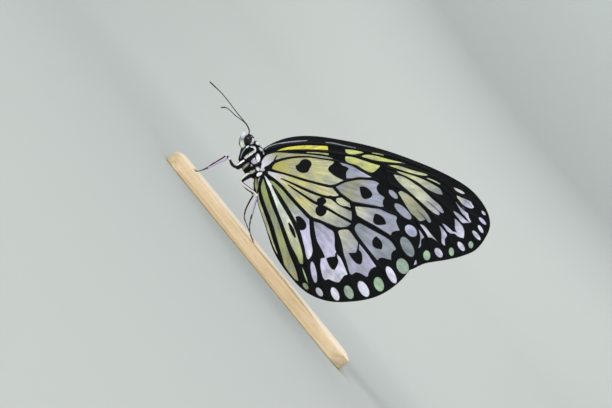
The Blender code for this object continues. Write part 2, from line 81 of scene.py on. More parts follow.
# %% The standing pose
MM = 0.001
LEAN = math.radians(50.7)
FRONT_FOOT = Vector((-19.3, 0.0, -1.7))
FRONT_FOOT_X = -32.0
FOOT_GAP = 0.3
BASE_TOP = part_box("stand_base")[1].z / MM

TURN = Matrix.Rotation(-LEAN, 4, "Y")
FOOT_TARGET = Vector((FRONT_FOOT_X, 0.0, BASE_TOP + FOOT_GAP))
STAND = Matrix.Scale(MM, 4) @ Matrix.Translation(FOOT_TARGET - TURN @ FRONT_FOOT) @ TURN
print("side view origin stands at", [round(value / MM, 1) for value in STAND.translation])

# %% [markdown]
# A few helpers carry the whole lesson. Smooth lines turn a handful of points into an even curve.
# Distances to lines, loops and ovals tell how far each point of a wing is from each marking: they
# make edges that stay crisp at any scale, where painted corner colours would blur.

# %% Lines and distances
LINE_DETAIL = 16                  # curve samples in each span
MARK_REACH = 1.2                  # distances past this are all the same to a marking
SHARP_TURN = 70                   # a closed outline keeps the corners that turn by more degrees


def smooth_line(points, step, closed=False):
    """Evenly spaced points along the smooth curve through a few given ones; outlines keep corners."""
    knots = np.array(points, float)
    count = len(knots)

    def pick(index):
        return knots[index % count] if closed else knots[np.clip(index, 0, count - 1)]

    def unit(vectors):
        return vectors / np.maximum(np.linalg.norm(vectors, axis=1, keepdims=True), 1e-9)

    def is_corner(index):
        before, after = pick(index) - pick(index - 1), pick(index + 1) - pick(index)
        straightness = np.sum(unit(before) * unit(after), axis=1, keepdims=True)
        return closed & (straightness < math.cos(math.radians(SHARP_TURN)))

    index = np.arange(count if closed else count - 1)
    start, end = pick(index), pick(index + 1)
    reach = np.linalg.norm(end - start, axis=1, keepdims=True) / 3
    leave = unit(np.where(is_corner(index), end - start, end - pick(index - 1))) * reach
    arrive = unit(np.where(is_corner(index + 1), end - start, pick(index + 2) - start)) * reach
    part = np.linspace(0.0, 1.0, LINE_DETAIL, endpoint=False)[:, None, None]
    rest = 1.0 - part
    dense = (start * rest ** 3 + (start + leave) * 3 * rest * rest * part
             + (end - arrive) * 3 * rest * part * part + end * part ** 3)
    dense = np.vstack([dense.transpose(1, 0, 2).reshape(-1, knots.shape[1]), pick(np.array([count]))])
    lengths = np.append(0.0, np.cumsum(np.linalg.norm(np.diff(dense, axis=0), axis=1)))
    targets = np.linspace(0.0, lengths[-1], max(2, round(lengths[-1] / step)) + 1)
    even = np.stack([np.interp(targets, lengths, column) for column in dense.T], axis=1)
    return even[:-1] if closed else even


def along_segment(places, start, end):
    """How far along a segment each place lies, 0 to 1, and its distance from it."""
    across = end[:2] - start[:2]
    part = np.clip((places - start[:2]) @ across / max(across @ across, 1e-12), 0.0, 1.0)
    return part, np.linalg.norm(places - start[:2] - part[:, None] * across, axis=1)


def only_near(measure):
    """Lets a distance be worked out only for the places that are near the marking."""
    def run(places, shape):
        shape = np.asarray(shape)
        low, high = shape[:, :2].min(0) - 2 * MARK_REACH, shape[:, :2].max(0) + 2 * MARK_REACH
        close = np.all((places >= low) & (places <= high), axis=1)
        distance = np.full(len(places), MARK_REACH)
        if close.any():
            distance[close] = np.minimum(measure(places[close], shape), MARK_REACH)
        return distance
    return run


@only_near
def band_distance(places, line):
    """Distance to a tapering band of (x, z, half width), negative inside it."""
    nearest = np.full(len(places), np.inf)
    for start, end in zip(line, line[1:]):
        part, away = along_segment(places, start, end)
        nearest = np.minimum(nearest, away - start[2] - (end[2] - start[2]) * part)
    return nearest


@only_near
def loop_distance(places, loop):
    """Distance to a closed outline, negative inside it."""
    nearest = np.full(len(places), np.inf)
    crossings = np.zeros(len(places), int)
    for start, end in zip(loop, np.roll(loop, -1, axis=0)):
        nearest = np.minimum(nearest, along_segment(places, start, end)[1])
        if start[1] != end[1]:
            passes = (start[1] > places[:, 1]) != (end[1] > places[:, 1])
            crossing = start[0] + (places[:, 1] - start[1]) * (end[0] - start[0]) / (end[1] - start[1])
            crossings += passes & (places[:, 0] < crossing)
    return np.where(crossings % 2 == 1, -nearest, nearest)


def oval_distance(places, oval):
    """Distance to a tilted oval of (x, z, half length, half width, tilt), negative inside it."""
    x, z, half_length, half_width, tilt = oval
    turn = math.radians(tilt)
    right, up = places[:, 0] - x, places[:, 1] - z
    along = (right * math.cos(turn) + up * math.sin(turn)) / half_length
    across = (up * math.cos(turn) - right * math.sin(turn)) / half_width
    return np.minimum((np.hypot(along, across) - 1.0) * min(half_length, half_width), MARK_REACH)


def nearest_of(measure, places, shapes):
    """The smallest of the distances to several shapes."""
    nearest = np.full(len(places), MARK_REACH)
    for shape in shapes:
        nearest = np.minimum(nearest, measure(places, shape))
    return nearest


def ease(part):
    """Falls smoothly from 1 at zero to 0 at one."""
    part = np.clip(part, 0.0, 1.0)
    return 1.0 - part * part * (3.0 - 2.0 * part)


# %% [markdown]
# Each piece is finished in the same way: its mesh is scaled and leaned into place, the object itself
# stays at the origin, it rides on the frame's root, and the parts of the frame that it stands for are hidden.

# %% Finish a piece
SIDES = ((-1, "left"), (1, "right"))


def mesh_of(bm, name):
    """The mesh that a bmesh has built."""
    mesh = bpy.data.meshes.new(name)
    bm.to_mesh(mesh)
    bm.free()
    return mesh


def points_of(mesh):
    points = np.empty(len(mesh.vertices) * 3)
    mesh.vertices.foreach_get("co", points)
    return points.reshape(-1, 3)


def place_mesh(mesh, points):
    """Leans points drawn in the side view into place and gives them to their mesh."""
    placed = points @ np.array(STAND.to_3x3()).T + np.array(STAND.translation)
    mesh.vertices.foreach_set("co", placed.ravel())


def finish_mesh(mesh, name, material, nodes=()):
    """Makes a placed mesh a piece of the model."""
    piece = bpy.data.objects.new(name, mesh)
    bpy.context.scene.collection.objects.link(piece)
    mesh.materials.clear()
    mesh.materials.append(material)
    mesh.shade_smooth()
    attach(piece, "root")
    if nodes:
        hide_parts(*nodes)
    print(f"{name}: {len(mesh.polygons)} faces")
    return piece


def finish_piece(bm, name, material, nodes=(), place=STAND):
    """Leans a bmesh drawn in the side view into place and makes it a piece."""
    bmesh.ops.transform(bm, matrix=place, verts=bm.verts)
    return finish_mesh(mesh_of(bm, name), name, material, nodes)


def store(mesh, name, values):
    """Keeps one number for each corner point of a mesh, for a material to read."""
    mesh.attributes.new(name, "FLOAT", "POINT").data.foreach_set("value", np.asarray(values, np.float32))


def store_colour(mesh, name, colours):
    """Keeps one colour for each corner point of a mesh."""
    colours = np.column_stack([colours, np.ones(len(colours))]).astype(np.float32)
    mesh.attributes.new(name, "FLOAT_COLOR", "POINT").data.foreach_set("color", colours.ravel())


def store_pattern(mesh, pattern):
    """Keeps a pattern's distances and tints on a mesh."""
    pale, tint = pattern
    store(mesh, "pale_distance", pale)
    store_colour(mesh, "tint", tint)


# %% [markdown]
# Materials are built from nodes. A small helper adds a node and links or sets its inputs in one line,
# and colours are written as they look on a screen and turned into the linear values shaders need.

# %% Node helpers
def linear(colour):
    """A colour as seen on a screen, 0 to 1, as the linear values that a shader takes."""
    return tuple(value / 12.92 if value <= 0.04045 else ((value + 0.055) / 1.055) ** 2.4 for value in colour)


def add_node(tree, kind, inputs=None, **settings):
    node = tree.nodes.new(kind)
    for name, value in settings.items():
        setattr(node, name, value)
    for name, value in (inputs or {}).items():
        if isinstance(value, bpy.types.NodeSocket):
            tree.links.new(value, node.inputs[name])
        else:
            node.inputs[name].default_value = value
    return node


def new_material(name, **constants):
    """A material with its shader's constant values set, as (material, node tree, shader)."""
    material = bpy.data.materials.new(name)
    material.use_nodes = True
    shader = material.node_tree.nodes["Principled BSDF"]
    for socket, value in constants.items():
        shader.inputs[socket.replace("_", " ")].default_value = value
    return material, material.node_tree, shader


def new_group(name, inputs, outputs):
    """A node group with float inputs of given defaults, as (group, tree inputs, tree outputs)."""
    group = bpy.data.node_groups.new(name, "ShaderNodeTree")
    for label, (kind, default) in inputs.items():
        socket = group.interface.new_socket(label, in_out="INPUT", socket_type=kind)
        socket.default_value = default
    for label, kind in outputs.items():
        group.interface.new_socket(label, in_out="OUTPUT", socket_type=kind)
    return group, group.nodes.new("NodeGroupInput"), group.nodes.new("NodeGroupOutput")


def use_group(tree, group, inputs):
    return add_node(tree, "ShaderNodeGroup", inputs, node_tree=group)


def maths(tree, operation, first, second=0.0, third=0.0):
    node = add_node(tree, "ShaderNodeMath", {0: first, 1: second, 2: third}, operation=operation)
    return node.outputs[0]


def blend_colours(tree, mask, first, second, blend_type="MIX"):
    node = tree.nodes.new("ShaderNodeMix")
    node.data_type = "RGBA"
    node.blend_type = blend_type
    for index, value in ((0, mask), (6, first), (7, second)):
        if isinstance(value, bpy.types.NodeSocket):
            tree.links.new(value, node.inputs[index])
        else:
            node.inputs[index].default_value = value if index == 0 else (*value, 1.0)
    return node.outputs[2]


def read_value(tree, name):
    return add_node(tree, "ShaderNodeAttribute", attribute_name=name).outputs["Fac"]


def read_colour(tree, name):
    return add_node(tree, "ShaderNodeAttribute", attribute_name=name).outputs["Color"]


def object_place(tree):
    """Where a shaded point lies in its object, in metres."""
    return tree.nodes.new("ShaderNodeTexCoord").outputs["Object"]


def map_range(tree, value, low, high, to_low=0.0, to_high=1.0, curve="LINEAR"):
    node = add_node(tree, "ShaderNodeMapRange", {"Value": value, "From Min": low, "From Max": high,
                                                 "To Min": to_low, "To Max": to_high},
                    interpolation_type=curve)
    return node.outputs["Result"]


def shaded(tree, colour, level):
    """A colour made darker or lighter by a level."""
    grey = add_node(tree, "ShaderNodeCombineColor", {0: level, 1: level, 2: level})
    return blend_colours(tree, 1.0, colour, grey.outputs[0], "MULTIPLY")


def add_bump(tree, shader, height, strength, distance, invert=False):
    bump = add_node(tree, "ShaderNodeBump", {"Strength": strength, "Distance": distance, "Height": height},
                    invert=invert)
    tree.links.new(bump.outputs[0], shader.inputs["Normal"])


# %% [markdown]
# Two effects serve several materials, so each is a node group. The first turns a distance from a
# marking's edge into a mask, with a slightly ragged rim, because real markings end at single scales.
# The second is the layer of tiny overlapping scales that covers wings and body like roof tiles.

# %% Marking edge and scale layer
def make_marking_edge():
    group, given, result = new_group(
        "marking_edge",
        {"Distance": ("NodeSocketFloat", 0.0), "Softness": ("NodeSocketFloat", 0.05),
         "Ragged": ("NodeSocketFloat", 0.05), "Grain": ("NodeSocketFloat", 8.0)},
        {"Mask": "NodeSocketFloat"})
    millimetres = add_node(group, "ShaderNodeVectorMath", {0: object_place(group), 1: (1 / MM,) * 3},
                           operation="MULTIPLY")
    noise = add_node(group, "ShaderNodeTexNoise", {"Vector": millimetres.outputs[0],
                                                   "Scale": given.outputs["Grain"], "Detail": 2.0})
    shift = maths(group, "SUBTRACT", noise.outputs["Fac"], 0.5)
    ragged = maths(group, "MULTIPLY_ADD", shift, maths(group, "MULTIPLY", given.outputs["Ragged"], 2.0),
                   given.outputs["Distance"])
    low = maths(group, "MULTIPLY", given.outputs["Softness"], -1.0)
    mask = map_range(group, ragged, low, given.outputs["Softness"], 1.0, 0.0, "SMOOTHSTEP")
    group.links.new(mask, result.inputs["Mask"])
    return group


def make_scale_layer():
    group, given, result = new_group(
        "scale_layer",
        {"Fineness": ("NodeSocketFloat", 9.0), "Stretch": ("NodeSocketFloat", 0.45)},
        {"Tone": "NodeSocketFloat", "Height": "NodeSocketFloat"})
    millimetres = add_node(group, "ShaderNodeMapping", {"Vector": object_place(group),
                                                        "Rotation": (0.0, LEAN, 0.0),
                                                        "Scale": (1 / MM,) * 3}, vector_type="POINT")
    stretch = add_node(group, "ShaderNodeCombineXYZ", {"X": given.outputs["Stretch"], "Y": 1.0, "Z": 1.0})
    rows = add_node(group, "ShaderNodeVectorMath", {0: millimetres.outputs[0], 1: stretch.outputs[0]},
                    operation="MULTIPLY")
    cells = add_node(group, "ShaderNodeTexVoronoi", {"Vector": rows.outputs[0],
                                                     "Scale": given.outputs["Fineness"]})
    pick = add_node(group, "ShaderNodeSeparateColor", {"Color": cells.outputs["Color"]})
    group.links.new(pick.outputs[0], result.inputs["Tone"])
    group.links.new(cells.outputs["Distance"], result.inputs["Height"])
    return group


MARKING_EDGE = make_marking_edge()
SCALE_LAYER = make_scale_layer()
print("node groups:", MARKING_EDGE.name, SCALE_LAYER.name)

# %% [markdown]
# The camera looks square on to the wings, as the picture does, and is rolled by the same angle that
# the butterfly was leaned by, so the butterfly keeps its pose in the frame while it stands on a level
# base. A long lens from half a metre keeps the near and far wings almost the same size.

# %% The camera
FRAME_WIDTH = 183.6               # how much of the object plane the picture spans, in millimetres
PICTURE_CENTRE = Vector((13.2, 0.0, -11.4))
LENS = 100.0
SENSOR = 36.0
CAMERA_DISTANCE = FRAME_WIDTH * LENS / SENSOR

camera_data = bpy.data.cameras.new("camera")
camera_data.lens = LENS
camera_data.sensor_width = SENSOR
camera_data.clip_start = 0.01
camera_data.dof.use_dof = False
camera = bpy.data.objects.new("camera", camera_data)
bpy.context.scene.collection.objects.link(camera)
eye_place = STAND @ (PICTURE_CENTRE + Vector((0.0, -CAMERA_DISTANCE, 0.0)))
camera.matrix_world = Matrix.Translation(eye_place) @ TURN @ Matrix.Rotation(math.pi / 2, 4, "X")
bpy.context.scene.camera = camera
print(f"camera is {eye_place.z / MM:.1f} mm above the floor")

# %% [markdown]
# A wing is a membrane stretched over veins. Its outline is a closed smooth curve through a few points,
# and the same outline serves the left and the right wing.

# %% Wing outlines
FOREWING_EDGE = [
    (-1.2, 3.2), (2.0, 6.2), (8.0, 8.5), (15.0, 9.0), (25.0, 7.6), (35.0, 5.3), (45.0, 1.9),
    (55.0, -2.4), (62.5, -7.0), (67.0, -12.5), (68.4, -17.5), (67.0, -21.5), (64.0, -25.2),
    (60.0, -27.0), (55.0, -28.2), (49.0, -29.2), (42.5, -31.3), (33.0, -25.8), (17.0, -14.0),
    (2.5, -3.2), (-1.2, -0.8),
]
HINDWING_EDGE = [
    (-1.6, -1.4), (-0.4, 0.9), (1.2, 3.3), (4.5, 4.5), (12.0, 4.0), (20.0, 2.6), (28.0, 0.1),
    (36.0, -4.7), (42.0, -10.4), (46.0, -16.9), (47.4, -21.8), (46.0, -26.6), (44.0, -31.4),
    (39.6, -36.0), (34.0, -39.2), (27.0, -40.6), (19.5, -40.4), (13.0, -37.6), (7.6, -32.0),
    (3.6, -25.7), (1.0, -18.0), (-1.1, -11.6), (-1.6, -9.0), (-1.0, -5.2), (-1.6, -3.2),
]
print("points of the forewing's and the hindwing's outline:", len(FOREWING_EDGE), len(HINDWING_EDGE))

# %% [markdown]
# The veins are black lines that taper along their length, so each point also holds half the line's
# width there. The same lines raise the wing's surface later.

# %% Hindwing veins
HINDWING_VEINS = {
    "subcosta": [(1.2, -0.7, 0.5), (2.6, 0.0, 0.55), (3.6, 1.0, 0.5), (5.0, 1.6, 0.42), (8.0, 2.35, 0.36),
                 (13.0, 2.75, 0.28), (17.0, 2.3, 0.24), (21.4, 1.55, 0.22), (24.9, 0.9, 0.26),
                 (27.7, -0.15, 0.26), (30.4, -1.75, 0.26), (33.5, -3.45, 0.26)],
    "humeral": [(3.6, 1.0, 0.3), (4.2, 2.6, 0.18), (4.7, 3.2, 0.08)],
    "radius": [(2.4, -0.9, 0.2), (5.0, -1.8, 0.26), (8.0, -2.7, 0.34), (12.0, -4.0, 0.38),
               (15.0, -4.8, 0.38), (18.0, -5.6, 0.42), (21.3, -6.1, 0.42), (24.0, -4.9, 0.35),
               (27.0, -4.0, 0.3), (31.0, -3.7, 0.28), (34.0, -4.0, 0.3), (39.0, -7.0, 0.5)],
    "cell_top": [(21.3, -6.0, 0.42), (22.5, -7.5, 0.5), (24.0, -9.0, 0.45), (26.8, -11.0, 0.5)],
    "median_one": [(26.8, -11.0, 0.5), (31.0, -11.7, 0.38), (35.0, -12.5, 0.35), (38.0, -13.8, 0.35),
                   (40.5, -14.8, 0.35), (45.5, -17.2, 0.4)],
    "cell_end": [(26.8, -11.0, 0.6), (27.6, -14.5, 0.6), (27.5, -17.0, 0.6), (26.2, -18.3, 0.55),
                 (24.3, -18.7, 0.35), (22.3, -18.6, 0.42)],
    "median_two": [(27.8, -14.9, 0.5), (30.9, -16.6, 0.35), (33.3, -17.9, 0.35), (35.4, -19.2, 0.35),
                   (37.8, -20.7, 0.38), (39.6, -22.2, 0.4), (41.1, -24.6, 0.4), (44.4, -28.5, 0.4)],
    "median_three": [(26.4, -18.4, 0.5), (28.0, -21.2, 0.42), (30.0, -23.7, 0.42), (32.0, -26.2, 0.42),
                     (34.0, -28.8, 0.42), (39.8, -35.0, 0.4)],
    "cubitus_one": [(22.2, -18.6, 0.5), (22.3, -22.0, 0.5), (22.8, -24.6, 0.85), (23.4, -26.2, 0.5),
                    (24.6, -29.0, 0.33), (25.8, -32.0, 0.33), (28.6, -39.8, 0.4)],
    "cubitus_two": [(14.6, -15.6, 0.5), (14.9, -20.0, 0.5), (15.6, -23.0, 0.55), (16.2, -25.4, 0.7),
                    (16.9, -27.5, 0.65), (17.0, -30.0, 0.5), (17.6, -33.0, 0.55), (19.6, -39.4, 0.5)],
    "cubitus": [(1.2, -2.2, 0.4), (2.0, -3.0, 0.45), (4.0, -4.5, 0.5), (6.0, -6.3, 0.5), (8.0, -8.6, 0.5),
                (10.0, -10.9, 0.52), (12.0, -13.0, 0.55), (14.6, -15.6, 0.6), (17.0, -16.4, 0.45),
                (19.5, -17.5, 0.45), (22.3, -18.6, 0.45)],
    "fold": [(3.1, -5.9, 0.18), (4.1, -7.9, 0.25), (6.0, -11.2, 0.36), (8.0, -14.5, 0.38),
             (10.0, -18.3, 0.42), (11.5, -22.5, 0.42), (12.3, -25.0, 0.45), (13.2, -29.0, 0.5),
             (14.0, -32.0, 0.5), (14.8, -38.0, 0.5)],
    "anal_two": [(0.5, -3.0, 0.28), (1.2, -5.1, 0.34), (2.1, -8.2, 0.38), (2.9, -10.6, 0.42),
                 (4.1, -13.5, 0.45), (5.3, -16.4, 0.48), (6.45, -19.6, 0.55), (7.6, -22.8, 0.6),
                 (8.8, -26.0, 0.65), (10.1, -28.9, 0.75), (11.2, -31.8, 0.8), (11.9, -34.0, 0.8)],
    "anal_three": [(0.1, -2.8, 0.3), (-0.5, -5.0, 0.4), (-0.7, -7.1, 0.5), (0.05, -10.0, 0.5),
                   (1.05, -12.9, 0.5), (2.2, -15.8, 0.5), (3.2, -18.7, 0.5), (4.0, -21.6, 0.5),
                   (4.85, -24.5, 0.5), (5.7, -27.4, 0.5), (6.2, -29.6, 0.5)],
}
print("hindwing veins:", len(HINDWING_VEINS))

# %% [markdown]
# Between the veins lie pale cells, drawn as outlines with two to five tints each, from the wing's
# root outwards. Black streaks and spots are then taken out of them, and the oval dots of the margin
# and a few thin pale lines are added last. A table of named tints, seen as paints, keeps the colours
# of all cells in one place, so that one change serves every cell that has the same kind of scales.

# %% Tints
# lavender and pearl are partly the pale scales' own colour and partly a painted reflection of a pale sky
TINTS = {
    "butter": (0.76, 0.74, 0.53), "cream": (0.77, 0.77, 0.66), "straw": (0.79, 0.80, 0.51),
    "lemon": (0.87, 0.84, 0.36), "gold": (0.68, 0.65, 0.35), "oat": (0.62, 0.61, 0.49),
    "ash": (0.53, 0.56, 0.59), "pearl": (0.61, 0.62, 0.69), "lavender": (0.76, 0.75, 0.87),
    "chalk": (0.84, 0.84, 0.91), "sage": (0.56, 0.61, 0.41), "mint": (0.62, 0.72, 0.62),
    "snow": (0.98, 0.98, 1.0), "frost": (0.84, 0.88, 0.83), "olive": (0.63, 0.66, 0.49),
}
print("tints:", len(TINTS))

# %% Hindwing cells
HINDWING_CELLS = {
    "costal": ("chalk oat oat oat oat", [
        (-1.1, -1.2), (-0.3, 0.8), (0.5, 2.3), (1.6, 3.3), (4.5, 4.0), (9.0, 3.75), (14.0, 3.45),
        (18.0, 3.0), (20.6, 2.55), (22.2, 1.8), (17.0, 2.45), (13.0, 2.8), (8.0, 2.3), (5.0, 1.5),
        (3.4, 0.7), (1.3, -0.6), (0.9, -1.5), (0.0, -1.7)]),
    "root": ("snow snow", [
        (-1.66, -2.9), (-1.35, -2.15), (-0.6, -1.85), (0.1, -1.9), (0.31, -2.2), (-0.1, -2.75),
        (-0.9, -3.25), (-1.5, -3.3)]),
    "subcostal": ("gold butter cream", [
        (3.0, -0.9), (3.4, 0.3), (4.6, 1.3), (8.0, 2.35), (13.0, 2.85), (17.0, 2.5), (21.4, 1.6),
        (22.6, 1.0), (22.6, -2.0), (22.1, -3.2), (24.6, -4.3), (23.0, -5.2), (20.0, -5.7),
        (12.0, -4.0), (5.0, -1.8)]),
    "outer_radial": ("pearl pearl chalk", [
        (23.0, 1.1), (24.9, 0.8), (27.4, -0.2), (29.1, -1.2), (31.0, -2.3), (33.6, -3.7), (31.3, -3.5),
        (29.0, -3.4), (27.1, -3.7), (25.3, -3.8), (24.6, -2.0), (25.4, -0.6), (24.0, 0.2)]),
    "discal": ("chalk butter butter cream ash", [
        (1.8, -1.5), (8.0, -2.9), (21.0, -6.2), (22.4, -8.0), (24.0, -9.4), (26.0, -10.6), (26.7, -12.0),
        (26.9, -16.0), (26.2, -17.9), (22.0, -18.2), (14.6, -15.6), (8.0, -8.3), (2.0, -3.0)]),
    "radial": ("ash oat pearl pearl", [
        (21.8, -6.3), (25.0, -4.9), (29.0, -4.1), (31.5, -4.2), (33.5, -4.4), (35.2, -5.2), (34.5, -6.0),
        (34.4, -7.0), (35.1, -8.2), (36.9, -9.5), (36.3, -10.3), (36.2, -11.3), (36.6, -12.3),
        (34.0, -12.1), (31.0, -11.5), (28.5, -11.1), (26.8, -10.4), (25.3, -9.3), (23.6, -8.1)]),
    "median_upper": ("cream pearl pearl", [
        (27.8, -12.1), (30.0, -12.2), (33.0, -12.6), (35.5, -12.9), (37.5, -13.5), (40.4, -15.2),
        (40.2, -16.5), (40.7, -18.0), (41.4, -19.4), (40.0, -19.5), (38.9, -20.0), (38.6, -21.1),
        (34.0, -18.5), (31.5, -17.0), (29.0, -15.5), (28.2, -14.0)]),
    "median_lower": ("ash pearl ash", [
        (27.7, -18.7), (28.3, -17.5), (29.2, -17.1), (31.0, -18.0), (33.5, -19.4), (36.3, -20.9),
        (38.7, -22.6), (40.3, -25.0), (39.1, -25.7), (38.7, -26.8), (38.8, -28.3), (37.5, -27.9),
        (35.5, -27.5), (34.6, -28.4), (32.0, -25.2), (30.0, -22.6), (28.4, -20.4)]),
    "cubital_upper": ("cream pearl lavender", [
        (22.7, -19.6), (23.5, -19.1), (25.8, -19.1), (27.2, -20.6), (29.6, -23.6), (31.5, -26.0),
        (33.0, -28.3), (34.4, -30.2), (33.5, -30.4), (32.6, -31.0), (32.0, -32.0), (31.7, -33.3),
        (31.0, -33.1), (29.5, -32.2), (28.0, -31.9), (27.0, -32.6), (26.3, -32.2), (25.3, -28.9),
        (24.5, -26.4), (23.8, -23.0)]),
    "cubital_lower": ("pearl lavender chalk", [
        (15.4, -16.5), (18.0, -17.4), (20.0, -18.7), (21.4, -19.7), (21.8, -21.5), (21.9, -24.5),
        (22.6, -26.4), (23.6, -27.5), (24.9, -30.4), (25.8, -32.5), (24.6, -32.9), (23.8, -34.0),
        (22.9, -34.9), (21.0, -34.4), (19.9, -33.9), (19.0, -34.3), (18.3, -33.5), (17.6, -31.5),
        (17.4, -29.0), (17.6, -27.6), (18.9, -27.4), (18.2, -25.8), (17.4, -24.2), (16.5, -22.5),
        (15.9, -20.0)]),
    "fold_upper": ("sage olive lavender chalk", [
        (4.0, -5.0), (14.0, -15.6), (14.4, -20.0), (14.9, -23.0), (15.2, -25.6), (14.7, -27.1),
        (13.9, -28.2), (13.3, -27.3), (12.6, -24.0), (11.0, -18.5), (6.0, -9.5), (2.0, -4.0)]),
    "fold_lower": ("snow frost cream sage", [
        (0.4, -2.5), (1.1, -3.0), (4.0, -7.0), (8.0, -14.6), (11.6, -22.5), (12.2, -26.0),
        (12.4, -29.4), (11.4, -29.2), (10.4, -27.0), (8.8, -24.0), (6.6, -18.2), (4.4, -12.5),
        (2.4, -7.0), (1.1, -4.4)]),
    "anal": ("sage sage olive oat", [
        (0.4, -3.4), (1.3, -5.6), (2.4, -9.4), (4.1, -13.5), (6.4, -19.6), (8.6, -25.6), (10.1, -30.2),
        (11.0, -34.6), (9.8, -33.9), (8.7, -32.5), (7.2, -30.5), (6.2, -28.4), (5.0, -24.6), (3.4, -18.7),
        (1.2, -12.9), (-0.4, -7.5)]),
    "inner": ("oat cream cream", [
        (-1.3, -4.2), (-0.4, -3.2), (-0.4, -5.4), (-0.9, -7.8), (-0.6, -10.2), (0.6, -13.6), (2.2, -18.2),
        (3.4, -22.4), (5.0, -26.8), (4.3, -26.0), (2.9, -22.8), (1.6, -19.2), (0.5, -16.1), (-0.5, -13.0),
        (-1.15, -10.9), (-1.4, -9.2), (-1.0, -6.4)]),
}
print("hindwing cells:", len(HINDWING_CELLS))

# %% Hindwing streaks, spots and dots
HINDWING_STREAKS = [
    [(5.7, -3.8, 0.18), (7.2, -4.4, 0.25), (9.0, -5.2, 0.3), (11.0, -6.15, 0.38), (13.8, -7.4, 0.42),
     (16.6, -8.5, 0.42), (19.3, -9.3, 0.42), (22.3, -9.5, 0.5), (24.0, -8.9, 0.4)],
    [(20.5, -9.3, 0.5), (22.0, -10.4, 0.5), (23.0, -11.4, 0.4), (24.6, -12.2, 0.4), (27.0, -13.2, 0.5)],
    [(7.9, -5.7, 0.18), (9.1, -6.55, 0.25), (11.0, -7.8, 0.32), (13.8, -9.7, 0.38), (15.5, -10.8, 0.42),
     (17.0, -11.5, 0.45), (19.0, -12.5, 0.42), (21.0, -13.6, 0.4), (23.0, -14.8, 0.38),
     (27.0, -16.9, 0.45)],
    [(8.1, -17.2, 0.3), (8.8, -18.6, 0.56), (9.4, -20.0, 0.52), (9.95, -21.3, 0.25)],
    [(22.2, -26.2, 0.25), (22.2, -27.6, 0.45)],
    [(28.9, -22.5, 0.15), (28.85, -24.3, 0.25), (28.6, -25.8, 0.4)],
]
HINDWING_SPOTS = [
    [(10.0, 0.1), (10.9, 0.5), (12.0, 1.8), (13.6, 2.0), (14.9, 0.8), (14.2, -1.0), (13.6, -1.9),
     (12.0, -2.1), (10.4, -1.2)],
    [(21.3, 0.75), (20.3, 0.0), (19.8, -1.1), (20.8, -2.25), (22.1, -3.2), (23.9, -3.65), (25.4, -3.4),
     (25.2, -2.1), (26.1, -0.8), (25.0, -0.1), (23.5, 0.3), (23.2, 1.3), (21.9, 1.6)],
    [(29.2, -6.3), (30.0, -6.1), (31.4, -6.5), (32.8, -7.8), (33.0, -9.0), (31.8, -9.8), (30.4, -9.8),
     (29.6, -8.5)],
    [(33.3, -15.9), (33.8, -14.2), (35.0, -14.5), (36.5, -15.6), (37.3, -17.5), (34.6, -17.7),
     (33.4, -17.0)],
    [(33.0, -23.3), (33.2, -22.0), (34.2, -20.9), (35.8, -22.7), (36.1, -24.2), (35.8, -25.0),
     (34.6, -24.8), (33.4, -24.2)],
    [(19.2, -27.7), (20.4, -27.2), (22.4, -27.3), (22.9, -28.5), (22.5, -29.9), (21.7, -31.2),
     (20.7, -30.7), (19.9, -29.4)],
    [(25.8, -26.0), (28.0, -25.9), (28.9, -25.0), (29.8, -26.0), (30.1, -28.0), (29.8, -29.4),
     (28.7, -29.4), (27.3, -28.2)],
    [(16.4, -10.2), (17.0, -9.6), (18.0, -9.4), (19.1, -10.0), (19.2, -11.0), (18.2, -11.6), (16.9, -11.3)],
    [(16.0, -12.9), (16.7, -12.0), (17.8, -11.6), (19.0, -12.2), (19.4, -13.4), (19.0, -14.4),
     (18.0, -15.1), (17.0, -15.0), (16.2, -14.2)],
    [(10.0, -15.2), (11.1, -15.0), (12.5, -16.0), (13.3, -17.4), (13.2, -18.6), (12.4, -19.2),
     (11.3, -19.1), (10.7, -18.0)],
]
HINDWING_DOTS = [                 # tint, then centre, half length, half width and tilt in degrees
    ("sage", 13.1, -36.0, 1.15, 0.62, -50), ("chalk", 17.2, -37.7, 1.5, 0.8, -55),
    ("chalk", 21.9, -38.3, 2.1, 1.05, -65), ("mint", 26.0, -37.8, 2.1, 1.25, -65),
    ("chalk", 30.4, -36.8, 2.6, 1.3, -60), ("mint", 35.0, -35.4, 2.2, 1.4, -70),
    ("chalk", 38.7, -32.6, 2.8, 1.1, -62), ("mint", 42.1, -30.0, 2.4, 1.7, -65),
    ("ash", 43.5, -24.2, 3.3, 1.5, -60), ("lavender", 44.6, -19.4, 2.1, 1.4, -45),
    ("pearl", 42.2, -13.6, 3.3, 1.1, -43), ("pearl", 39.3, -8.5, 1.75, 0.75, -45),
    ("lavender", 15.5, -31.8, 3.2, 0.8, -79), ("mint", 12.9, -32.7, 2.5, 0.22, -70),
    ("cream", 23.9, -10.8, 1.85, 0.95, -28),
]
print("hindwing spots and dots:", len(HINDWING_SPOTS), len(HINDWING_DOTS))

# %% [markdown]
# The forewing is mostly black, with long pale wedges that fan out between its veins. The cells near
# its root and under the hindwing are hidden at rest, and are drawn more plainly.

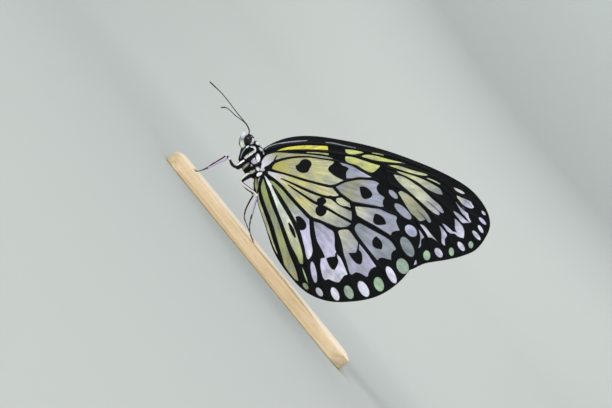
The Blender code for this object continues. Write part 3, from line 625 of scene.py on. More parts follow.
# %% Forewing veins and cells
FOREWING_VEINS = {
    "subcosta": [(0.4, 4.4, 0.3), (2.5, 5.0, 0.3), (7.0, 6.25, 0.3), (14.0, 6.75, 0.3), (22.0, 6.1, 0.3),
                 (28.0, 5.1, 0.25), (33.0, 4.0, 0.2), (40.0, 2.6, 0.25), (50.0, -1.2, 0.2)],
    "radius": [(1.9, 3.2, 0.25), (6.5, 4.4, 0.3), (14.0, 4.5, 0.3), (20.0, 4.1, 0.35), (25.0, 3.4, 0.3),
               (28.0, 3.05, 0.25), (33.0, 1.6, 0.2), (36.0, 0.85, 0.25), (40.0, 0.5, 0.2),
               (44.0, -0.35, 0.2), (49.5, -2.3, 0.25), (54.5, -4.8, 0.3), (58.2, -8.3, 0.3),
               (63.4, -10.9, 0.3), (66.6, -14.9, 0.3)],
    "radius_four": [(36.0, 0.7, 0.5), (38.0, -0.7, 0.4), (41.0, -1.2, 0.2), (45.0, -2.5, 0.2),
                    (49.5, -4.05, 0.14), (51.7, -5.15, 0.16), (53.6, -6.2, 0.25), (57.3, -9.3, 0.3),
                    (60.0, -12.6, 0.2), (63.2, -14.9, 0.3), (66.8, -17.6, 0.3)],
    "median_one": [(36.6, -1.0, 0.4), (38.6, -2.0, 0.3), (42.5, -3.1, 0.2), (46.5, -5.6, 0.2),
                   (50.9, -8.7, 0.2), (54.5, -11.6, 0.3), (57.6, -14.6, 0.25), (60.8, -18.4, 0.2),
                   (64.2, -22.4, 0.3)],
    "median_two": [(38.0, -5.0, 0.4), (42.0, -7.2, 0.3), (45.9, -9.7, 0.2), (49.4, -13.0, 0.25),
                   (53.0, -16.4, 0.25), (55.9, -20.6, 0.2), (58.3, -26.1, 0.3)],
    "median_three": [(39.5, -9.0, 0.3), (43.0, -12.9, 0.3), (46.7, -17.2, 0.25), (49.6, -21.4, 0.2),
                     (51.0, -27.3, 0.3)],
    "cell_end": [(36.0, 0.7, 0.5), (37.2, -1.4, 0.4), (38.0, -5.0, 0.4), (39.5, -9.0, 0.4),
                 (36.0, -13.0, 0.4)],
    "cubitus": [(2.9, 0.4, 0.4), (12.0, -2.4, 0.4), (24.0, -7.2, 0.4), (36.0, -13.0, 0.4),
                (42.0, -20.0, 0.3), (45.4, -28.6, 0.3)],
    "cubitus_two": [(24.0, -7.2, 0.4), (33.0, -14.8, 0.3), (38.5, -21.6, 0.3), (41.6, -29.4, 0.3)],
    "anal": [(2.6, -1.6, 0.3), (14.0, -9.6, 0.3), (28.0, -19.8, 0.3), (38.5, -28.0, 0.3)],
}
FOREWING_CELLS = {
    "costal_band": ("lemon lemon", [
        (3.0, 3.9), (4.6, 4.65), (7.0, 5.5), (10.0, 6.0), (14.0, 6.25), (19.8, 6.0), (19.9, 4.7),
        (16.0, 4.9), (12.0, 4.95), (8.0, 4.8), (5.5, 4.45)]),
    "costal_patch": ("straw straw", [
        (24.8, 5.05), (27.0, 4.9), (30.9, 4.1), (29.0, 3.6), (27.0, 3.4), (25.2, 3.95)]),
    "cell_patch": ("straw straw", [
        (24.9, 2.95), (27.0, 2.75), (30.0, 1.85), (33.0, 0.85), (35.6, 0.1), (34.4, -1.2), (33.0, -2.0),
        (31.0, -1.4), (28.5, 0.1), (25.2, 1.3)]),
    "radial_one": ("straw straw", [
        (29.5, 2.9), (31.0, 3.4), (34.0, 3.1), (38.0, 2.05), (44.2, 0.6), (40.0, 0.95), (36.0, 1.35),
        (33.0, 1.85)]),
    "radial_two": ("straw cream", [
        (37.2, 0.35), (41.0, 0.1), (45.0, -1.15), (50.7, -2.65), (48.5, -2.95), (45.0, -2.25),
        (41.0, -0.95)]),
    "radial_three": ("straw cream ash", [
        (40.0, -1.3), (42.6, -2.0), (46.1, -3.1), (49.5, -4.5), (51.7, -5.7), (53.4, -6.8), (54.4, -8.7),
        (52.6, -8.4), (50.5, -7.5), (48.5, -6.25), (46.4, -4.75), (43.2, -3.1), (41.0, -2.1)]),
    "median_one": ("cream cream pearl", [
        (39.0, -1.9), (40.8, -2.3), (43.2, -3.6), (46.1, -5.3), (48.9, -7.7), (51.2, -9.9),
        (53.4, -11.8), (54.7, -13.9), (54.0, -14.3), (53.2, -13.6), (53.3, -14.9), (51.7, -14.3),
        (49.5, -12.5), (47.0, -10.3), (44.2, -7.8), (41.6, -5.5), (40.4, -4.2)]),
    "median_two": ("cream oat ash", [
        (40.8, -8.0), (41.6, -7.4), (44.2, -8.8), (47.0, -11.4), (49.5, -14.2), (50.9, -16.6),
        (50.2, -17.2), (49.0, -16.2), (47.4, -16.6), (46.1, -15.4), (44.2, -13.7), (42.9, -11.5)]),
    "wedge_one": ("cream chalk", [
        (57.2, -6.3), (58.5, -6.7), (59.8, -7.3), (61.1, -8.4), (60.1, -8.4), (59.1, -8.0), (58.1, -7.4)]),
    "wedge_two": ("cream pearl chalk", [
        (58.4, -8.3), (60.0, -8.9), (61.5, -9.6), (62.6, -10.3), (63.0, -11.3), (63.7, -12.4),
        (62.9, -12.8), (61.2, -12.3), (60.0, -11.5), (59.1, -10.3), (58.4, -9.4)]),
    "wedge_three": ("pearl chalk", [
        (57.8, -10.5), (59.6, -11.8), (60.8, -12.8), (61.7, -14.0), (62.1, -15.4), (62.9, -17.1),
        (62.1, -16.7), (61.0, -15.3), (60.0, -14.3), (59.2, -13.0), (58.4, -11.6)]),
    "wedge_four": ("pearl chalk", [
        (57.1, -13.3), (58.2, -13.8), (59.9, -15.0), (61.2, -16.25), (62.9, -17.2), (61.2, -17.1),
        (60.3, -17.2), (59.5, -16.6), (58.4, -15.5)]),
    "wedge_five": ("pearl chalk", [
        (57.7, -15.5), (58.9, -16.6), (60.1, -18.0), (60.7, -19.7), (60.5, -21.8), (59.5, -21.1),
        (58.5, -20.0), (57.9, -19.0), (57.8, -17.5)]),
    "wedge_six": ("pearl chalk", [
        (53.4, -16.8), (55.1, -17.7), (56.3, -18.7), (57.3, -19.6), (58.2, -19.8), (60.5, -21.8),
        (58.7, -21.2), (57.8, -20.4), (56.4, -20.2), (55.2, -19.2), (54.2, -18.1)]),
    "wedge_seven": ("ash lavender", [
        (52.9, -17.4), (54.4, -19.0), (55.5, -20.8), (54.85, -22.0), (55.0, -24.1), (53.9, -23.2),
        (53.7, -19.9)]),
    "wedge_eight": ("lavender cream", [
        (47.1, -17.2), (48.7, -17.95), (50.9, -20.6), (53.8, -23.8), (50.8, -21.5), (49.6, -21.4)]),
    "wedge_nine": ("pearl lavender", [
        (46.8, -18.4), (48.8, -21.5), (47.85, -22.0), (47.6, -24.1), (46.6, -24.9), (47.3, -21.8)]),
    "corner": ("chalk chalk", [(46.15, -27.7), (45.3, -29.9), (46.5, -29.4)]),
    "discal": ("cream cream", [
        (4.0, 2.4), (12.0, 2.8), (19.0, 2.4), (20.0, 1.4), (24.0, 1.0), (33.0, -3.5), (34.5, -8.0),
        (33.0, -10.5), (24.0, -6.4), (12.0, -1.6)]),
    "cubital": ("cream lavender", [
        (26.0, -9.2), (35.0, -13.6), (40.5, -20.0), (42.4, -25.4), (39.4, -21.0), (34.0, -14.8)]),
    "anal": ("cream lavender", [
        (6.0, -1.8), (14.0, -4.4), (24.0, -8.6), (33.0, -16.2), (38.0, -23.6), (28.0, -18.4),
        (14.0, -8.4)]),
}
print("forewing veins and cells:", len(FOREWING_VEINS), len(FOREWING_CELLS))

# %% Forewing streaks, lines, spots and dots
FOREWING_STREAKS = [
    [(49.2, -10.3, 0.1), (51.3, -12.0, 0.14), (53.4, -14.0, 0.14)],
    [(46.2, -12.9, 0.1), (48.2, -14.9, 0.14), (49.6, -16.6, 0.14)],
    [(60.4, -10.2, 0.1), (61.7, -11.1, 0.1), (63.0, -12.3, 0.1)],
    [(20.5, 7.0, 0.5), (20.7, 2.5, 0.7)],
]
FOREWING_LINES = [                # tint, then points with half widths
    ("ash", [(0.9, 4.95, 0.12), (1.8, 5.65, 0.15), (3.6, 6.35, 0.15), (5.0, 6.7, 0.12)]),
    ("pearl", [(5.0, 6.7, 0.12), (7.0, 7.0, 0.16), (9.0, 7.25, 0.17), (12.1, 7.5, 0.15), (13.6, 7.6, 0.1)]),
    ("ash", [(19.2, 7.05, 0.12), (21.0, 6.9, 0.15), (22.8, 6.55, 0.15), (24.9, 6.05, 0.12),
             (28.0, 5.4, 0.1)]),
    ("straw", [(13.4, 4.05, 0.1), (16.0, 3.95, 0.16), (18.5, 3.7, 0.22), (19.8, 3.5, 0.24)]),
    ("straw", [(33.0, 3.9, 0.1), (34.6, 3.65, 0.14), (36.4, 3.25, 0.1)]),
    ("cream", [(49.5, -3.65, 0.12), (51.5, -4.45, 0.17), (53.3, -5.4, 0.12)]),
]
FOREWING_SPOTS = [
    [(12.0, 2.0), (15.0, 2.2), (17.0, 0.4), (15.0, -1.6), (12.4, -0.6)],
    [(24.5, 2.0), (27.0, -0.5), (26.5, -4.5), (23.5, -5.0), (22.0, -1.5)],
]
FOREWING_DOTS = [
    ("mint", 49.4, -26.8, 1.45, 1.05, -85), ("chalk", 52.95, -26.0, 1.6, 0.95, -55),
    ("mint", 56.8, -25.7, 1.25, 0.75, -85), ("chalk", 59.7, -24.1, 1.6, 0.75, -55),
    ("mint", 62.6, -23.6, 1.05, 0.7, -85), ("chalk", 64.3, -20.8, 1.75, 0.6, -50),
    ("chalk", 65.55, -18.9, 1.35, 0.5, -58), ("lavender", 66.1, -16.5, 1.45, 0.5, -46),
    ("chalk", 66.4, -14.1, 0.85, 0.36, -48),
]
print("forewing spots and dots:", len(FOREWING_SPOTS), len(FOREWING_DOTS))

# %% [markdown]
# The pattern of a wing comes down to one number at each point, the distance to the nearest edge of a
# pale area, and one tint. A shader cuts the number at zero, so the edge stays sharp between points.

# %% Wing pattern
LINE_STEP = 0.5                   # spacing of points along a marking
CELL_INSET = 0.07                 # pale cells stop this far inside their outlines
DOT_OVERLAP = 0.2                 # how far round a dot or pale line its own tint is laid


def wing_pattern(places, cells, veins, streaks, spots, dots, pale_lines=()):
    """For every place: distance to the edge of a pale area, negative inside, and the tint there."""
    pale = np.full(len(places), MARK_REACH)
    closest = np.full(len(places), MARK_REACH)
    tint = np.tile(linear(TINTS["cream"]), (len(places), 1))
    from_root = np.linalg.norm(places, axis=1)
    for names, outline in cells.values():
        loop = smooth_line(outline, LINE_STEP, closed=True)
        distance = loop_distance(places, loop)
        pale = np.minimum(pale, distance + CELL_INSET)
        reach = np.linalg.norm(loop, axis=1)
        shades = np.array([linear(TINTS[name]) for name in names.split()])
        stops = np.linspace(reach.min(), reach.max(), len(shades))
        here = distance < closest
        tint[here] = np.stack([np.interp(from_root[here], stops, band) for band in shades.T], axis=1)
        closest = np.minimum(closest, distance)
    lines = [smooth_line(line, LINE_STEP) for line in [*veins.values(), *streaks]]
    loops = [smooth_line(spot, LINE_STEP, closed=True) for spot in spots]
    black = np.minimum(nearest_of(band_distance, places, lines), nearest_of(loop_distance, places, loops))
    pale = np.maximum(pale, -black)
    added = [(name, oval_distance(places, oval)) for name, *oval in dots]
    added += [(name, band_distance(places, smooth_line(line, LINE_STEP))) for name, line in pale_lines]
    for name, distance in added:
        tint[distance < np.clip(pale, 0.0, DOT_OVERLAP)] = linear(TINTS[name])
        pale = np.minimum(pale, distance)
    return pale, tint


# %% [markdown]
# The wing's sheet starts as a fine grid the size of the wing. What lies outside the outline is
# deleted, the open rim is extruded once, and the new rim points slide onto the outline itself. The
# grid then bends: wings part a little at the body, bulge round the abdomen, and dip between veins.

# %% Wing sheet
WING_GRID = 0.2                   # spacing of the grid
RIM_ROOM = 0.15                   # how far inside the outline the grid stops
WING_ROOT = np.array((0.5, 0.5))
ROOT_SPREAD = 1.2                 # how far the wings part at the root, and over what length
ROOT_REACH = 20.0
FOREWING_MIDDLE = 0.4             # from the plane between the wings to the middle of the sheet
HINDWING_MIDDLE = 1.45
ABDOMEN_ROOM = 1.0                # how far a hindwing bulges beside the abdomen, and over what length
ABDOMEN_REACH = 6.0
BEND_SHARE = 0.25                 # where both bends meet, the smaller one adds this share
ABDOMEN_LINE = [(-0.9, -3.2, 0.0), (-0.9, -4.3, 0.0), (-0.05, -8.2, 0.0), (3.0, -14.2, 0.0),
                (6.8, -21.0, 0.0), (10.1, -26.9, 0.0), (10.9, -28.3, 0.0)]


def line_distance(places, line):
    """Distance to a chain of points, at any range."""
    line = np.asarray(line, float)
    return np.min([along_segment(places, start, end)[1] for start, end in zip(line, line[1:])], axis=0)


def forewing_offset(places):
    reach = np.linalg.norm(places - WING_ROOT, axis=1)
    return FOREWING_MIDDLE + ROOT_SPREAD * ease(reach / ROOT_REACH)


def hindwing_offset(places):
    reach = np.linalg.norm(places - WING_ROOT, axis=1)
    opened = ROOT_SPREAD * ease(reach / ROOT_REACH)
    beside = ABDOMEN_ROOM * ease(line_distance(places, ABDOMEN_LINE) / ABDOMEN_REACH)
    return HINDWING_MIDDLE + np.maximum(opened, beside) + BEND_SHARE * np.minimum(opened, beside)


def flat_sheet(outline):
    """A fine flat mesh of a wing's outline, drawn in the side view's x and z."""
    loop = smooth_line(outline, WING_GRID, closed=True)
    low, high = loop.min(0), loop.max(0)
    middle, half = (low + high) / 2, (high - low) / 2
    bm = bmesh.new()
    place = Matrix.Translation((middle[0], 0.0, middle[1])) @ Matrix.Rotation(math.pi / 2, 4, "X")
    size = Matrix.Diagonal((half[0], half[1], 1.0, 1.0))
    columns, rows = (int(2 * reach / WING_GRID) for reach in half)
    bmesh.ops.create_grid(bm, x_segments=columns, y_segments=rows, size=1.0, matrix=place @ size)
    places = np.array([(vert.co.x, vert.co.z) for vert in bm.verts])
    outside = loop_distance(places, loop) > -RIM_ROOM
    bmesh.ops.delete(bm, geom=[vert for vert, out in zip(bm.verts, outside) if out], context="VERTS")
    rim = [edge for edge in bm.edges if edge.is_boundary]
    grown = bmesh.ops.extrude_edge_only(bm, edges=rim)["geom"]
    for vert in (item for item in grown if isinstance(item, bmesh.types.BMVert)):
        here = np.array((vert.co.x, vert.co.z))
        nearest = loop[np.argmin(np.linalg.norm(loop - here, axis=1))]
        vert.co.x, vert.co.z = nearest
    bmesh.ops.remove_doubles(bm, verts=bm.verts, dist=WING_GRID * 0.2)
    bmesh.ops.recalc_face_normals(bm, faces=bm.faces)
    return mesh_of(bm, "flat_sheet")


# %% [markdown]
# Real wing membrane is far thinner than a hair's width of card, so the sheet gets only a thin wall,
# and a group of weights along the veins lets Solidify raise them on both faces.

# %% Wing relief
WALL = 0.5                        # thickness over a vein
MEMBRANE = 0.16                   # thickness between veins
VEIN_RIDGE = 0.34                 # half width of a raised vein
PLEAT = 0.07                      # how far the membrane sinks between veins
PLEAT_REACH = 1.6                 # distance from a vein at which it has sunk that far
RAY_SCALE = 18.0                  # turns the angle round the root into streaks of an even width


def dress_wing(sheet, name, side, offset, pattern, veins, material, node):
    """Bends a copy of a wing's sheet to its side, raises its veins and stores its pattern."""
    mesh = sheet.copy()
    points = points_of(mesh)
    places = points[:, [0, 2]]
    spread = np.min([line_distance(places, smooth_line(line, LINE_STEP)) for line in veins.values()], axis=0)
    ridge = ease(spread / VEIN_RIDGE)
    points[:, 1] = side * (offset(places) - PLEAT * ease(1.0 - np.clip(spread / PLEAT_REACH, 0.0, 1.0)))
    place_mesh(mesh, points)
    store_pattern(mesh, pattern)
    right, up = (places - WING_ROOT).T
    store(mesh, "reach", np.hypot(right, up))
    store(mesh, "ray", np.arctan2(up, right) * RAY_SCALE)
    if side < 0:
        mesh.flip_normals()
    wing = finish_mesh(mesh, name, material, [node])
    group = wing.vertex_groups.new(name="raised_veins")
    for index in np.flatnonzero(ridge > 0.0):
        group.add([int(index)], float(ridge[index]), "REPLACE")
    wall = wing.modifiers.new("wall", "SOLIDIFY")
    wall.thickness = WALL * MM
    wall.offset = 0.0
    wall.vertex_group = group.name
    wall.thickness_vertex_group = MEMBRANE / WALL
    return wing


# %% [markdown]
# The wing's finish is matt scales over the membrane. Soft streaks that fan out from the root, as folds
# in the membrane do, make the tint lighter and darker: painted light and shade of the folds, which the
# same streaks also raise as a bump. On the black they give a faint greenish painted sheen. Cloudy
# patches vary the tint as well. Single scales only show close by, so they are a fine bump and a slight
# change of tone.

# %% Wing material
def make_wing_material():
    material, tree, shader = new_material("wing_scales", Roughness=0.55, Sheen_Weight=0.01,
                                          Sheen_Roughness=0.4, Specular_IOR_Level=0.08)
    edge = use_group(tree, MARKING_EDGE, {"Distance": read_value(tree, "pale_distance"),
                                          "Softness": 0.06, "Ragged": 0.07, "Grain": 5.0})
    scales = use_group(tree, SCALE_LAYER, {"Fineness": 7.0, "Stretch": 0.5})
    outwards = maths(tree, "MULTIPLY", read_value(tree, "reach"), 0.12)
    fan = add_node(tree, "ShaderNodeCombineXYZ", {"X": read_value(tree, "ray"), "Y": outwards})
    streaks = add_node(tree, "ShaderNodeTexNoise", {"Vector": fan.outputs[0], "Scale": 1.6, "Detail": 3.0})
    clouds = add_node(tree, "ShaderNodeTexNoise", {"Vector": object_place(tree), "Scale": 230.0,
                                                   "Detail": 2.0})
    cloud_mask = map_range(tree, clouds.outputs["Fac"], 0.45, 0.65, 0.0, 0.45, "SMOOTHSTEP")
    cooled = blend_colours(tree, cloud_mask, read_colour(tree, "tint"), linear(TINTS["ash"]))
    # painted light and shade of the membrane's folds: the fanning streaks make the pale tint lighter and
    # darker
    tone = map_range(tree, streaks.outputs["Fac"], 0.3, 0.7, 0.72, 1.16)
    fine = maths(tree, "MULTIPLY_ADD", scales.outputs["Tone"], 0.14, 0.93)
    pale = shaded(tree, cooled, maths(tree, "MULTIPLY", tone, fine))
    # painted sheen and painted fold shade: the same streaks lift the black towards a faint greenish blue
    painted_black_sheen = maths(tree, "MULTIPLY_ADD", streaks.outputs["Fac"], 0.6, 0.2)
    black = blend_colours(tree, painted_black_sheen, (0.001, 0.001, 0.002), (0.006, 0.008, 0.008))
    colour = blend_colours(tree, edge.outputs["Mask"], black, pale)
    tree.links.new(colour, shader.inputs["Base Color"])
    rough = maths(tree, "MULTIPLY_ADD", edge.outputs["Mask"], 0.12, 0.48)
    tree.links.new(rough, shader.inputs["Roughness"])
    height = maths(tree, "ADD", maths(tree, "MULTIPLY", scales.outputs["Height"], 0.25),
                   maths(tree, "MULTIPLY", streaks.outputs["Fac"], 1.5))
    add_bump(tree, shader, height, 0.35, 0.0001)
    return material


WING_SCALES = make_wing_material()

# %% [markdown]
# Left and right wings are twins, so one flat sheet and one pattern are worked out for each kind, and
# each side gets a copy that is bent its own way and wears the pattern on both of its faces.

# %% Four wings
for kind, outline, offset, cells, veins, *marks in (
        ("forewing", FOREWING_EDGE, forewing_offset, FOREWING_CELLS, FOREWING_VEINS, FOREWING_STREAKS,
         FOREWING_SPOTS, FOREWING_DOTS, FOREWING_LINES),
        ("hindwing", HINDWING_EDGE, hindwing_offset, HINDWING_CELLS, HINDWING_VEINS, HINDWING_STREAKS,
         HINDWING_SPOTS, HINDWING_DOTS)):
    sheet = flat_sheet(outline)
    pattern = wing_pattern(points_of(sheet)[:, [0, 2]], cells, veins, *marks)
    for side, hand in SIDES:
        dress_wing(sheet, f"{hand}_{kind}", side, offset, pattern, veins, WING_SCALES, f"{kind}_{hand}")

# %% [markdown]
# Body, legs and feelers are all closed forms swept through rings: each row of a spine holds a place
# and the half width and half height of its cross section. Circles are drawn at the rows and bridged.

# %% Sweep and ball
def sweep(bm, spine, sides):
    """A closed form through rings: x, y, z, half width across and half height of each."""
    spine = np.asarray(spine, float)
    loops = []
    for (x, y, z, wide, tall), heading in zip(spine, np.gradient(spine[:, :3], axis=0)):
        along = Vector(heading).normalized()
        across = (Vector((0.0, 1.0, 0.0)) - along * along.y).normalized()
        frame = Matrix((across, along.cross(across), along)).transposed().to_4x4()
        place = Matrix.Translation((x, y, z)) @ frame @ Matrix.Diagonal((wide, tall, 1.0, 1.0))
        ring = bmesh.ops.create_circle(bm, segments=sides, radius=1.0, matrix=place)
        loops.append(list({edge for vert in ring["verts"] for edge in vert.link_edges}))
    for first, second in zip(loops, loops[1:]):
        bmesh.ops.bridge_loops(bm, edges=first + second)
    for end in (loops[0], loops[-1]):
        bmesh.ops.poke(bm, faces=bmesh.ops.contextual_create(bm, geom=end)["faces"])
    bmesh.ops.recalc_face_normals(bm, faces=bm.faces)


def ball(bm, centre, half_sizes, tilt=0.0, detail=20):
    """An oval ball, tilted in the side view."""
    place = (Matrix.Translation(centre) @ Matrix.Rotation(-math.radians(tilt), 4, "Y")
             @ Matrix.Diagonal((*half_sizes, 1.0)))
    bmesh.ops.create_uvsphere(bm, u_segments=detail, v_segments=detail * 2 // 3, radius=1.0, matrix=place)


def rounded_ends(spine):
    """Narrows the first and last rows of a spine so that its ends are round."""
    spine = np.array(spine, float)
    steps = np.append(0.0, np.cumsum(np.linalg.norm(np.diff(spine[:, :3], axis=0), axis=1)))
    for from_end in (steps, steps[-1] - steps):
        part = np.clip(from_end / np.maximum(spine[:, 3], 1e-6), 0.0, 1.0)
        spine[:, 3:] *= np.maximum(np.sqrt(1.0 - (1.0 - part) ** 2), 0.25)[:, None]
    return spine


# %% [markdown]
# A butterfly's body is one continuous coat over plates that hardly show, so all its forms are fused
# into one skin. A voxel remesh does this better than unions: it rounds the joints as the coat does.

# %% Body forms
COAT_DEPTH = 0.12                 # the skin lies this far inside the solids, to leave room for scales
SKIN_STEP = 0.13
THORAX = [
    (-3.25, 6.9, 1.1, 0.9), (-3.35, 6.15, 2.15, 1.6), (-3.35, 5.0, 3.25, 2.45), (-3.0, 3.3, 3.95, 3.05),
    (-2.5, 1.5, 4.2, 3.35), (-1.95, -0.3, 3.95, 3.3), (-1.4, -2.0, 3.1, 2.95), (-1.0, -3.3, 1.9, 2.0),
]
ABDOMEN = [
    (-1.0, -2.4, 0.8, 0.9), (-0.9, -3.2, 1.4, 1.2), (-0.9, -4.3, 1.7, 1.4), (-0.75, -5.9, 2.1, 1.65),
    (-0.05, -8.2, 2.1, 1.65), (1.3, -11.0, 1.95, 1.55), (3.0, -14.2, 1.8, 1.45), (4.9, -17.6, 1.65, 1.35),
    (6.8, -21.0, 1.5, 1.2), (8.6, -24.2, 1.25, 1.0), (10.1, -26.9, 0.85, 0.7), (10.9, -28.3, 0.35, 0.3),
]
ABDOMEN_RINGS = 8
ABDOMEN_WAIST = 0.08              # how much narrower the abdomen is between two rings
HEAD_CENTRE = (-3.85, 0.0, 7.8)
HEAD_HALF = (1.6, 1.95, 1.8)
BODY_LOBES = [                    # centre, half sizes and tilt of the rounded forms on each side
    ((-4.6, 0.75, 7.1), (1.0, 0.8, 1.3), 10),           # face
    ((-1.5, 0.95, 6.7), (1.05, 0.75, 0.55), -40),       # collar
    ((-0.35, 2.0, 4.6), (1.5, 0.6, 0.85), -50),         # shoulder
    ((-4.4, 1.5, 2.1), (1.3, 0.9, 1.6), -40),           # seat of the middle leg
    ((-2.9, 1.8, -1.9), (1.5, 1.1, 1.3), -30),          # seat of the hind leg
]


def body_spine(stations, step):
    """Rows for a body form, from (x, z, half height, half width), pulled in by the coat's depth."""
    line = smooth_line(stations, step)
    rows = np.column_stack([line[:, 0], np.zeros(len(line)), line[:, 1], line[:, 3], line[:, 2]])
    rows[:, 3:] = np.maximum(rows[:, 3:] - COAT_DEPTH, 0.15)
    return rows


def fused(bm, step, rounds):
    """Fuses overlapping closed forms into one even skin."""
    mesh = mesh_of(bm, "fused")
    scratch = bpy.data.objects.new("fused", mesh)
    bpy.context.scene.collection.objects.link(scratch)
    remesh = scratch.modifiers.new("remesh", "REMESH")
    remesh.mode = "VOXEL"
    remesh.voxel_size = step
    smooth = scratch.modifiers.new("smooth", "SMOOTH")
    smooth.iterations = rounds
    bpy.context.view_layer.update()
    skin = bpy.data.meshes.new_from_object(scratch.evaluated_get(bpy.context.evaluated_depsgraph_get()))
    bpy.data.objects.remove(scratch)
    bpy.data.meshes.remove(mesh)
    return skin


def make_body_mesh():
    bm = bmesh.new()
    sweep(bm, body_spine(THORAX, 0.4), 40)
    abdomen = body_spine(ABDOMEN, 0.25)
    part = np.linspace(0.0, 1.0, len(abdomen))
    drawn_in = (0.5 + 0.5 * np.cos(2 * np.pi * ABDOMEN_RINGS * part)) ** 3
    abdomen[:, 3:] *= (1.0 - ABDOMEN_WAIST * drawn_in)[:, None]
    sweep(bm, abdomen, 32)
    ball(bm, HEAD_CENTRE, [half - COAT_DEPTH for half in HEAD_HALF], detail=32)
    for side, _ in SIDES:
        for (x, y, z), half_sizes, tilt in BODY_LOBES:
            ball(bm, (x, side * y, z), half_sizes, tilt)
    return fused(bm, SKIN_STEP, 3)


BODY_MESH = make_body_mesh()
print("body skin:", len(BODY_MESH.polygons), "faces")

# %% [markdown]
# The body is black with chalk white bars and spots, some of them tinged green. They are drawn in the
# side view like the wing's cells, and a thin black line along back and belly parts left from right.

# %% Body markings
BODY_SPOTS = [
    ("snow", [(-2.84, 8.45), (-2.45, 8.0), (-2.33, 7.5), (-2.67, 6.85), (-3.3, 6.6), (-3.79, 6.64),
              (-3.25, 7.05), (-3.02, 7.5), (-3.0, 8.0)]),
    ("lavender", [(-4.6, 9.45), (-4.3, 9.45), (-4.4, 9.15)]),
    ("lavender", [(-3.3, 9.0), (-3.0, 8.85), (-3.15, 8.7)]),
    ("snow", [(-1.8, 7.25), (-1.29, 7.33), (-0.6, 6.47), (-1.2, 6.4), (-1.85, 6.6)]),
    ("snow", [(-0.8, 5.4), (-0.2, 5.25), (0.25, 4.85), (0.0, 4.65), (-0.6, 4.9)]),
    ("snow", [(0.35, 4.35), (0.8, 3.9), (0.75, 3.4), (0.35, 3.65)]),
    ("snow", [(-1.64, 3.2), (-1.12, 3.68), (-0.69, 3.11), (-0.52, 2.16), (-0.86, 1.22), (-1.38, 1.47),
              (-1.64, 2.34)]),
    ("chalk", [(-3.2, 1.3), (-2.7, 2.1), (-2.24, 2.42), (-1.64, 1.65), (-1.2, 1.04), (-2.07, 0.7),
               (-2.8, 0.8)]),
    ("snow", [(-3.3, 0.3), (-3.0, 0.5), (-2.75, 0.2), (-3.05, 0.0)]),
    ("snow", [(-1.81, -0.6), (-1.2, -0.33), (-0.52, -0.68), (-0.86, -1.45), (-1.55, -1.1)]),
    ("snow", [(-1.64, -3.26), (-1.38, -2.3), (-0.34, -1.88), (0.25, -2.05), (-0.09, -2.65),
              (-1.03, -3.26)]),
    ("sage", [(-5.1, -4.75), (-4.0, -4.3), (-2.76, -3.7), (-2.07, -3.5), (-3.1, -4.5), (-4.8, -5.1)]),
]
BODY_BARS = [
    ("snow", [(-3.2, 5.75, 0.12), (-2.5, 5.7, 0.24), (-2.0, 5.1, 0.27), (-2.1, 4.45, 0.22),
              (-2.76, 4.1, 0.2)]),
    ("snow", [(-2.76, 4.0, 0.24), (-3.96, 3.2, 0.32), (-4.9, 2.5, 0.28)]),
    ("snow", [(-4.0, 5.95, 0.14), (-4.5, 5.6, 0.1)]),
    ("ash", [(-4.5, 5.6, 0.08), (-5.2, 4.9, 0.08), (-5.8, 4.0, 0.07), (-6.15, 3.02, 0.04),
             (-6.3, 2.3, 0.02)]),
    ("snow", [(-5.4, 1.6, 0.16), (-6.4, 0.9, 0.17), (-7.4, 0.2, 0.1)]),
    ("frost", [(-3.9, 0.85, 0.16), (-4.9, 0.05, 0.26), (-5.8, -0.75, 0.22), (-6.72, -1.4, 0.06)]),
    ("frost", [(-2.3, -1.45, 0.26), (-3.4, -2.0, 0.3), (-3.9, -2.25, 0.1), (-4.6, -2.6, 0.28),
               (-5.5, -3.3, 0.22), (-6.3, -4.2, 0.16)]),
]
SPOT_STEP = 0.12                  # spacing of points along a spot and along a bar
BAR_STEP = 0.3
MARK_SPREAD = 0.08                # scales of a pale mark reach this far past its outline
TINT_REACH = 0.3                  # how far round a mark its tint is laid
BACK_LINE = 0.22                  # half width of the black line along back and belly
ABDOMEN_TOP = -3.4                # the abdomen's own pattern starts below this level
ABDOMEN_HALF = (2.6, 2.0)         # half sizes of the room where that pattern holds, x and y
FLANK = 0.55                      # share of the abdomen's half width that stays pale
FLANK_SHIFT = 0.25
FLANK_SLOPE = 0.8
TAIL_TINT = (-5.0, 7.0)           # level from which the flank turns to frost, and over what length


def body_pattern(points):
    """Distance to the edge of a pale mark, negative inside, and the tint, for points of the body."""
    places = points[:, [0, 2]]
    pale = np.full(len(points), MARK_REACH)
    tint = np.tile(linear(TINTS["snow"]), (len(points), 1))
    marks = [(name, loop_distance(places, smooth_line(spot, SPOT_STEP, closed=True)))
             for name, spot in BODY_SPOTS]
    marks += [(name, band_distance(places, smooth_line(bar, BAR_STEP))) for name, bar in BODY_BARS]
    for name, distance in marks:
        tint[distance < np.minimum(pale, TINT_REACH)] = linear(TINTS[name])
        pale = np.minimum(pale, distance - MARK_SPREAD)
    spine_x, spine_z, half_height, _ = np.array(ABDOMEN).T
    depth = -places[:, 1]
    off_middle = places[:, 0] - np.interp(depth, -spine_z, spine_x)
    flank = np.abs(off_middle + FLANK_SHIFT) - np.interp(depth, -spine_z, FLANK * half_height)
    abdomen = ((depth > -ABDOMEN_TOP) & (np.abs(off_middle) < ABDOMEN_HALF[0])
               & (np.abs(points[:, 1]) < ABDOMEN_HALF[1]))
    pale[abdomen] = flank[abdomen] * FLANK_SLOPE
    to_tail = np.clip((depth[abdomen] + TAIL_TINT[0]) / TAIL_TINT[1], 0.0, 1.0)[:, None]
    front, tail = (np.array(linear(TINTS[name])) for name in ("olive", "frost"))
    tint[abdomen] = front * (1 - to_tail) + tail * to_tail
    return np.maximum(pale, BACK_LINE - np.abs(points[:, 1])), tint


